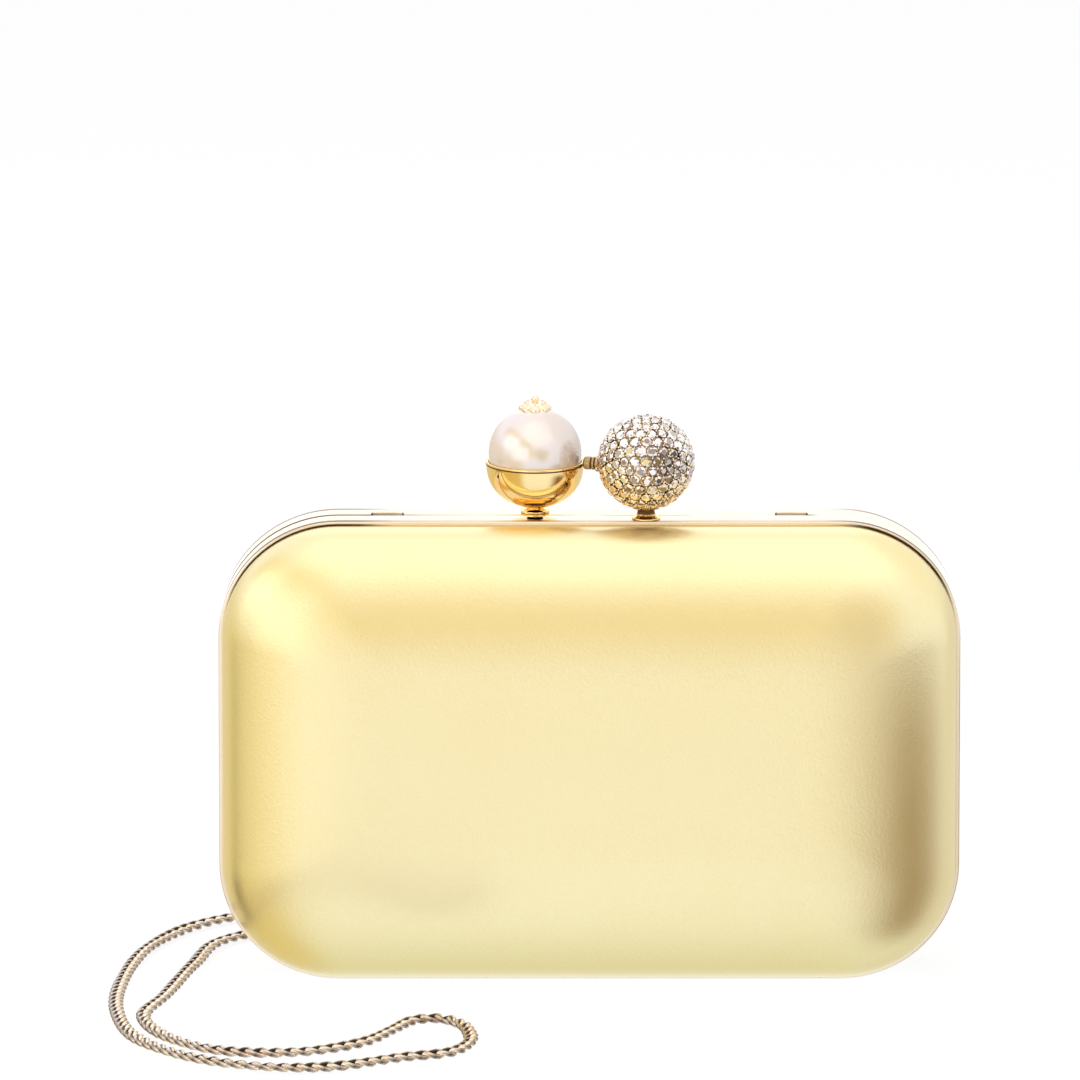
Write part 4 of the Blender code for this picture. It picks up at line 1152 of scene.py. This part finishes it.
def makeFinial():
    # a domed cap with eight scallops round its edge, a ring of beads and one bead on top
    low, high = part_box("pearl_finial")
    reach, bead, base = (high.x - low.x) / 2, finial["bead"], pearl["radius"] + finial["gap"]
    edgeTurn = np.arcsin(reach / base)
    top = high.z - caseTop - 2 * bead + finial["sink"]
    t = np.linspace(0, 1, 13) * pi / 2
    lift = pearl["lift"] + base * cos(edgeTurn) + finial["edge"]
    dome = stacked(reach * np.sin(t), lift + (top - lift) * np.cos(t))
    under = arcCurve(base, pearl["lift"], edgeTurn, 0, 8)
    points, faces = turnedPatch(np.concatenate([dome, under]), pearlFoot, 96)
    away = points - pearlFoot
    angle = np.arctan2(away[:, 1], away[:, 0])
    out = lengthOf(away[:, :2]) / reach
    scallop = 1 - finial["scallop"] * out**2 * (1 - np.abs(np.cos(4 * angle)) ** 0.7)
    points = np.concatenate([away[:, :2] * scallop[:, None], away[:, 2:]], axis=1) + pearlFoot
    crown = turnedPatch(arcCurve(bead, high.z - caseTop - bead, 0, pi, 16), pearlFoot, 32)
    turn, radius = circle(8), reach * finial["ring"]
    half = finial["smallBead"] / 2
    spots = polar(turn, radius, top - half)
    ring = repeated(beadPatch(finial["smallBead"], 6, 8), spots + pearlFoot)
    patch = joined((points, faces), crown, ring)
    makePiece("beadFinial", patch, rearHalf, frameGold, "pearl_finial", 50)


def makeFixings(prefix, body, foot):
    # a washer and a six-sided nut with turned-down corners, inside the frame
    bore, wide, bevel = fixing["bore"], fixing["washer"], fixing["chamfer"]
    top = -rail["wall"] - fixing["gap"]
    under = top - fixing["washerHeight"]
    corners = [(wide, top), (wide, under), (bore, under), (bore, top)]
    patch = turnedPatch(rounded(corners, [0.1 * mm] * 4, True), foot, 48, loop=True)
    makePiece(prefix + "Washer", patch, body, steel, prefix + "_washer", 40)
    high = under - fixing["gap"]
    low = high - fixing["nutHeight"]
    turn = circle(48)
    flat = fixing["nut"] * cos(pi / 6) / np.cos((turn + pi / 6) % (pi / 3) - pi / 6)
    end = np.minimum(flat, fixing["nutEnd"])
    radius = stacked(bore, end, flat, flat, end, bore)
    height = np.array([high, high, high - bevel, low + bevel, low, low])
    patch = gridPatch(polar(turn[:, None], radius, height) + foot, True, True)
    makePiece(prefix + "Nut", patch, body, steel, prefix + "_nut", 30)


makePearl()
makeCup()
makePearlPost()
makeFinial()
makeFixings("pearl", rearHalf, pearlFoot)
print("pearl side made")

# Stone side of the clasp


ball = {
    "radius": 11.6 * mm,
    "lift": 14.0 * mm,
    "girdle": 11.4 * mm,  # of the stones' widest line from the middle
    "core": 11.15 * mm,
    "divisions": 5,
    "stone": 1.1 * mm,
    "share": 0.5,  # of the way to the nearest stone that a stone takes up
    "wander": 0.01,  # of the stones from an even spacing, as a share of the ball
    "lean": 0.16,  # how far a stone leans over for its wander
    "spin": 2.399,  # radians from one stone to the next
    "bead": 0.3 * mm,
    "beadLift": 0.02 * mm,
    # for the stones and for the grains: lowest place, as a share of the ball, and the finger's room
    "lowest": (-0.965, -0.97),
    "fingerRoom": (1.5 * mm, 1.9 * mm),
    "darkest": (0.42, -0.9, 0.12),  # the way that the stones with the darkest painted shade face
    # rings of a stone's corners: share of its radius and height in mm
    "rings": [(0.56, 0.4), (0.79, 0.255), (1, 0), (0.97, -0.25)],
    # table, stars, kites, halves and girdle: number, darkest painted light and spread of painted
    # light
    "facets": [(1, 0.12, 0.8), (8, 0.0, 1.0), (8, 0.0, 0.95), (16, 0.0, 0.85), (16, 0.0, 0.15)],
}
finger = {
    "lift": 12.9 * mm,
    "radius": 1.6 * mm,
    "collar": 1.9 * mm,
    "groove": 0.42 * mm,
    "peg": 0.8 * mm,
    "pegLength": 1.9 * mm,
    "rings": (0.8 * mm, 1.75 * mm),  # of the grooves' starts from the ball
    "stones": 12,
    "stoneScale": 0.34,
}
stem = {
    "foot": 0.98 * mm,  # height at which the neck gives way to the screw
    "waist": 2.1 * mm,
    "flare": 0.3 * mm,  # that the neck gains towards its ends
    "shadeShare": (1.0 * mm, 0.5 * mm),  # height from which the painted shade on its neck under the ball comes up, and over how far
    # section of the dish in mm: radius, height and rounding
    "dish": [
        *[(1.25, 0.95, 0.05), (2.3, 0.95, 0.15), (3.0, 0.55, 0.25)],
        *[(3.5, 0.4, 0.12), (3.5, 0.05, 0.08), (1.25, 0.05, 0.05)],
    ],
}
fingerSpan = pearlFoot - crystalFoot
fingerWay = fingerSpan / hypot(fingerSpan[0], fingerSpan[1])


def dividedBall():
    # the corners and the triangle middles of an icosahedron whose sides are divided evenly
    golden = (1 + sqrt(5)) / 2
    signs = np.array([(1, 1), (1, -1), (-1, 1), (-1, -1)])
    flat = stacked(0, signs[:, 0], signs[:, 1] * golden)
    corners = unit(np.concatenate([flat, np.roll(flat, 1, 1), np.roll(flat, 2, 1)]))
    close = lengthOf(corners[:, None] - corners[None])
    near = (close > 0.1) & (close < 1.2)
    i, j, k = np.nonzero(near[:, :, None] & near[:, None, :] & near[None, :, :])
    triangles = corners[stacked(i, j, k)[(i < j) & (j < k)]]
    n = ball["divisions"]
    i, j = (part.ravel() for part in np.meshgrid(np.arange(n + 1), np.arange(n + 1), indexing="ij"))
    keep = i + j <= n
    shares = stacked(i[keep], j[keep], n - i[keep] - j[keep]) / n
    spots = np.einsum("ks,fsd->fkd", shares, triangles).reshape(-1, 3)
    spots = unit(spots[np.unique(np.round(spots, 4), axis=0, return_index=True)[1]])
    third = np.array([1, 1, -2]) / 3 / n
    up = shares[shares[:, 2] > 0.01] + third
    down = shares[(shares[:, 0] > 0.01) & (shares[:, 1] > 0.01)] - third
    gaps = np.einsum("ks,fsd->fkd", np.concatenate([up, down]), triangles)
    return spots, unit(gaps.reshape(-1, 3))


def scattered(numbers, seed):
    # an even but untidy value from 0 to 1 for each number: the fraction of a large sine
    return np.modf(np.abs(np.sin(numbers * 12.9898 + seed * 78.233)) * 43758.5453)[0]


def stonePatch():
    # a round brilliant: table, eight stars, eight kites, sixteen halves and a girdle
    eight, sixteen = circle(8) + pi / 8, circle(16)
    rings = zip((eight, eight + pi / 8, sixteen, sixteen), ball["rings"])
    points = [polar(turn, radius * ball["stone"], height * mm) for turn, (radius, height) in rings]
    k, j = np.arange(8), np.arange(16)
    after, before, around = (k + 1) % 8, (k - 1) % 8, (j + 1) % 16
    star, own, between = 8 + k, 16 + (2 * k + 1) % 16, 16 + (2 * k + 2) % 16
    halves = np.stack([[star, own, between], [star, between, 16 + (2 * after + 1) % 16]])
    faces = [
        [k],
        np.transpose([k, star, after]),
        np.transpose([k, 8 + before, own, star]),
        halves.transpose(0, 2, 1).reshape(-1, 3),
        np.transpose([16 + j, 32 + j, 32 + around, 16 + around]),
    ]
    return np.concatenate(points), [np.array(face) for face in faces]


def standing(directions, spin, tilt):
    # frames that stand on a ball along each direction, turned by spin and leant by a small tilt
    up = unit(directions + tilt)
    helper = np.where(np.abs(up[:, 2:]) < 0.9, np.array([0, 0, 1.0]), np.array([1.0, 0, 0]))
    first = unit(np.cross(helper, up))
    second = np.cross(up, first)
    spin = spin[:, None]
    return stacked(turned(spin, first, second), turned(spin, second, -first), up)


def paintedFacetLight(count, seed, shares=0):
    # painted highlight and shade on each facet: tables are clear, the other facets light or dark by
    # chance, and the girdles dark
    return facetShares(np.zeros(count) + shares) + np.concatenate([
        low + span * scattered(np.arange(count * number), seed + k)
        for k, (number, low, span) in enumerate(ball["facets"])
    ])


def facetShares(shares):
    # one value for each stone, spread over its facets in the order that the patch has them
    return np.concatenate([np.repeat(shares, row[0]) for row in ball["facets"]])


def makeStoneBall():
    # brilliants stand on the spots of the divided ball, as wide as half the way to the nearest
    middle = crystalFoot + np.array([0, 0, ball["lift"]])
    spots, gaps = dividedBall()
    number = np.arange(len(spots))
    wander = stacked(*(scattered(number, k) - 0.5 for k in (1, 2, 3)))
    spots = unit(spots + wander * 2 * ball["wander"])
    apart = lengthOf(spots[:, None] - spots[None]) + 9 * np.eye(len(spots))
    size = ball["share"] * apart.min(axis=1) * ball["girdle"] / ball["stone"]
    turns = standing(spots, number * ball["spin"], wander * ball["lean"])
    turns = turns * stacked(size, size, 1)[:, None]
    # stones and grains in the way of the stem and of the finger are left out
    towards = unit(fingerWay * ball["radius"] + np.array([0, 0, finger["lift"] - ball["lift"]]))
    clear, free = (
        (places[:, 2] > lowest) & (places @ towards < cos(room / ball["radius"]))
        for places, lowest, room in zip((spots, gaps), ball["lowest"], ball["fingerRoom"])
    )
    seen, gaps = spots[clear], gaps[free]
    stones = repeated(stonePatch(), middle + seen * ball["girdle"], turns[clear])
    # painted reflection: the lower stones take the colour of the gold around them; painted shade:
    # those at the front go dark
    gilt = 0.8 * eased(0.1 - seen[:, 2] * 1.4 - seen[:, 0] * 0.35)
    front = eased(1 - lengthOf(seen - unit(np.array(ball["darkest"]))) / 0.75)
    marks = {"tone": paintedFacetLight(len(seen), 1, 0.12 - 0.5 * front), "gilt": facetShares(gilt)}
    makePiece("setStones", stones, frontHalf, cutStone, "crystal_ball", 2, **marks)

    # gold ground under the stones, dark brown as painted shade in the gaps between them
    ground = turnedPatch(arcCurve(ball["core"], 0, 0, pi, 48), middle, 96)
    makePiece("shadedStoneGround", ground, frontHalf, shadowGold)
    grain = beadPatch(ball["bead"], 4, 6)
    grains = repeated(grain, middle + gaps * (ball["girdle"] + ball["beadLift"]))
    makePiece("stoneGrains", grains, frontHalf, frameGold)
    print(len(seen), "stones and", len(gaps), "grains")


def makeFinger():
    # a barrel with two grooves, and a collar of small stones against the ball
    tip = np.linalg.norm(fingerSpan) - cup["radius"] - seat
    root = ball["radius"] + 0.05 * mm
    radius, collar, groove, peg = (finger[part] for part in ("radius", "collar", "groove", "peg"))
    waist, pegEnd = radius - groove, root - finger["pegLength"]
    a, b = (root + ring for ring in finger["rings"])
    corners = [
        *[(0, tip), (radius * 0.7, tip), (radius, tip - 0.4 * mm)],
        *[(radius, b + groove), (waist, b + groove), (waist, b), (radius, b)],
        *[(radius, a + groove), (waist, a + groove), (waist, a), (collar, a)],
        *[(collar, root), (peg, root), (peg, pegEnd), (0, pegEnd)],
    ]
    radii = [0, 0.15, 0.2, 0.08, 0.05, 0.05, 0.08, 0.08, 0.05, 0.05, 0.12, 0.1, 0.05, 0.1, 0]
    centre = crystalFoot + np.array([0, 0, finger["lift"]])
    barrel = turnedPatch(rounded(corners, np.array(radii) * mm), centre, 64, fingerWay)
    off = barrel[0] - centre
    off = lengthOf(off - (off @ fingerWay)[:, None] * fingerWay)
    # painted shade: the whole barrel a little dark, and fully dark in its grooves
    shadeShare = 0.6 + 0.4 * (off < radius - 0.1 * mm)
    makePiece("claspFinger", barrel, frontHalf, claspGold, "crystal_finger", 45, seam=shadeShare)

    count = finger["stones"]
    turn, upright = circle(count), np.array([0, 0, 1.0])
    out = turned(turn[:, None], unit(np.cross(fingerWay, upright)), upright)
    spots = centre + fingerWay * (root + 0.4 * mm) + out * (collar - 0.02 * mm)
    turns = standing(out, turn, 0 * out) * finger["stoneScale"]
    stones = repeated(stonePatch(), spots, turns)
    # painted light on the collar's facets, and a painted reflection of the gold around them
    marks = {"tone": paintedFacetLight(count, 7), "gilt": facetShares(np.full(count, 0.6))}
    makePiece("collarStones", stones, frontHalf, cutStone, None, 2, **marks)


def makeCrystalPost():
    # a waisted neck whose radius follows a parabola, over its screw, and the dish that it stands in
    top, foot = ball["lift"] - ball["core"], stem["foot"]
    t = np.linspace(0, 1, 13)
    waist = stem["waist"] + stem["flare"] * (2 * t - 1) ** 2
    neck = stacked(waist, top + (foot - top) * t)
    profile = np.concatenate([[(0, top)], neck, [(0, foot)]])
    screw = screwPatch(crystalFoot + np.array([0, 0, foot]))
    patch = joined(turnedPatch(profile, crystalFoot), screw)
    # painted shade on the neck under the ball
    shadeShare = ramp(patch[0][:, 2] - crystalFoot[2], stem["shadeShare"])
    makePiece("crystalPost", patch, frontHalf, claspGold, "crystal_post", 45, seam=shadeShare)
    patch = turnedPatch(section(stem["dish"], True), crystalFoot, loop=True)
    makePiece("crystalDish", patch, frontHalf, claspGold, "crystal_escutcheon", 45)


makeStoneBall()
makeFinger()
makeCrystalPost()
makeFixings("crystal", frontHalf, crystalFoot)
print("stone side made")

# Eyes on the back that the chain hangs from


eye = {
    "inset": 8 * mm,  # of its middle from the top of the case
    "loop": 1.9 * mm,
    "wire": 0.7 * mm,
    "loopHeight": 3.1 * mm,
    # section of the plate and its screw in mm: radius, height and rounding
    "plate": [
        *[(0, 1.0, 0), (2.6, 1.0, 0.25), (2.6, 0.1, 0.08)],
        *[(0.9, 0.1, 0.05), (0.9, -2.4, 0.1), (0, -2.4, 0)],
    ],
}


def makeEye(name, node):
    # a disc square to the shell's superellipse, its screw, and an upright wire loop
    low, high = boxOf(node)
    fullness = bag["fullness"]
    reach = (1 - (eye["inset"] - bag["skinInset"]) / bag["reach"]) ** fullness
    rise = (1 - reach) ** (1 / fullness)
    slope = reach ** (1 - 1 / fullness) / bag["reach"], rise ** (fullness - 1) / shellRise
    normal = np.array([0, slope[1], slope[0]]) / hypot(*slope)
    back, top = bag["skinRim"] + shellRise * rise, caseTop - eye["inset"]
    foot = np.array([(low[0] + high[0]) / 2, back, top])
    plate = turnedPatch(section(eye["plate"]), foot, 48, normal)
    middle = foot + normal * eye["loopHeight"]
    loop = ringPatch(middle, (0, 0, 1), (0, 1, 0), eye["loop"], eye["wire"])
    makePiece(name, joined(plate, loop), rearHalf, claspGold, node, 45)


makeEye("chainEyeLeft", "chain_eye_left")
makeEye("chainEyeRight", "chain_eye_right")
print("chain eyes made")
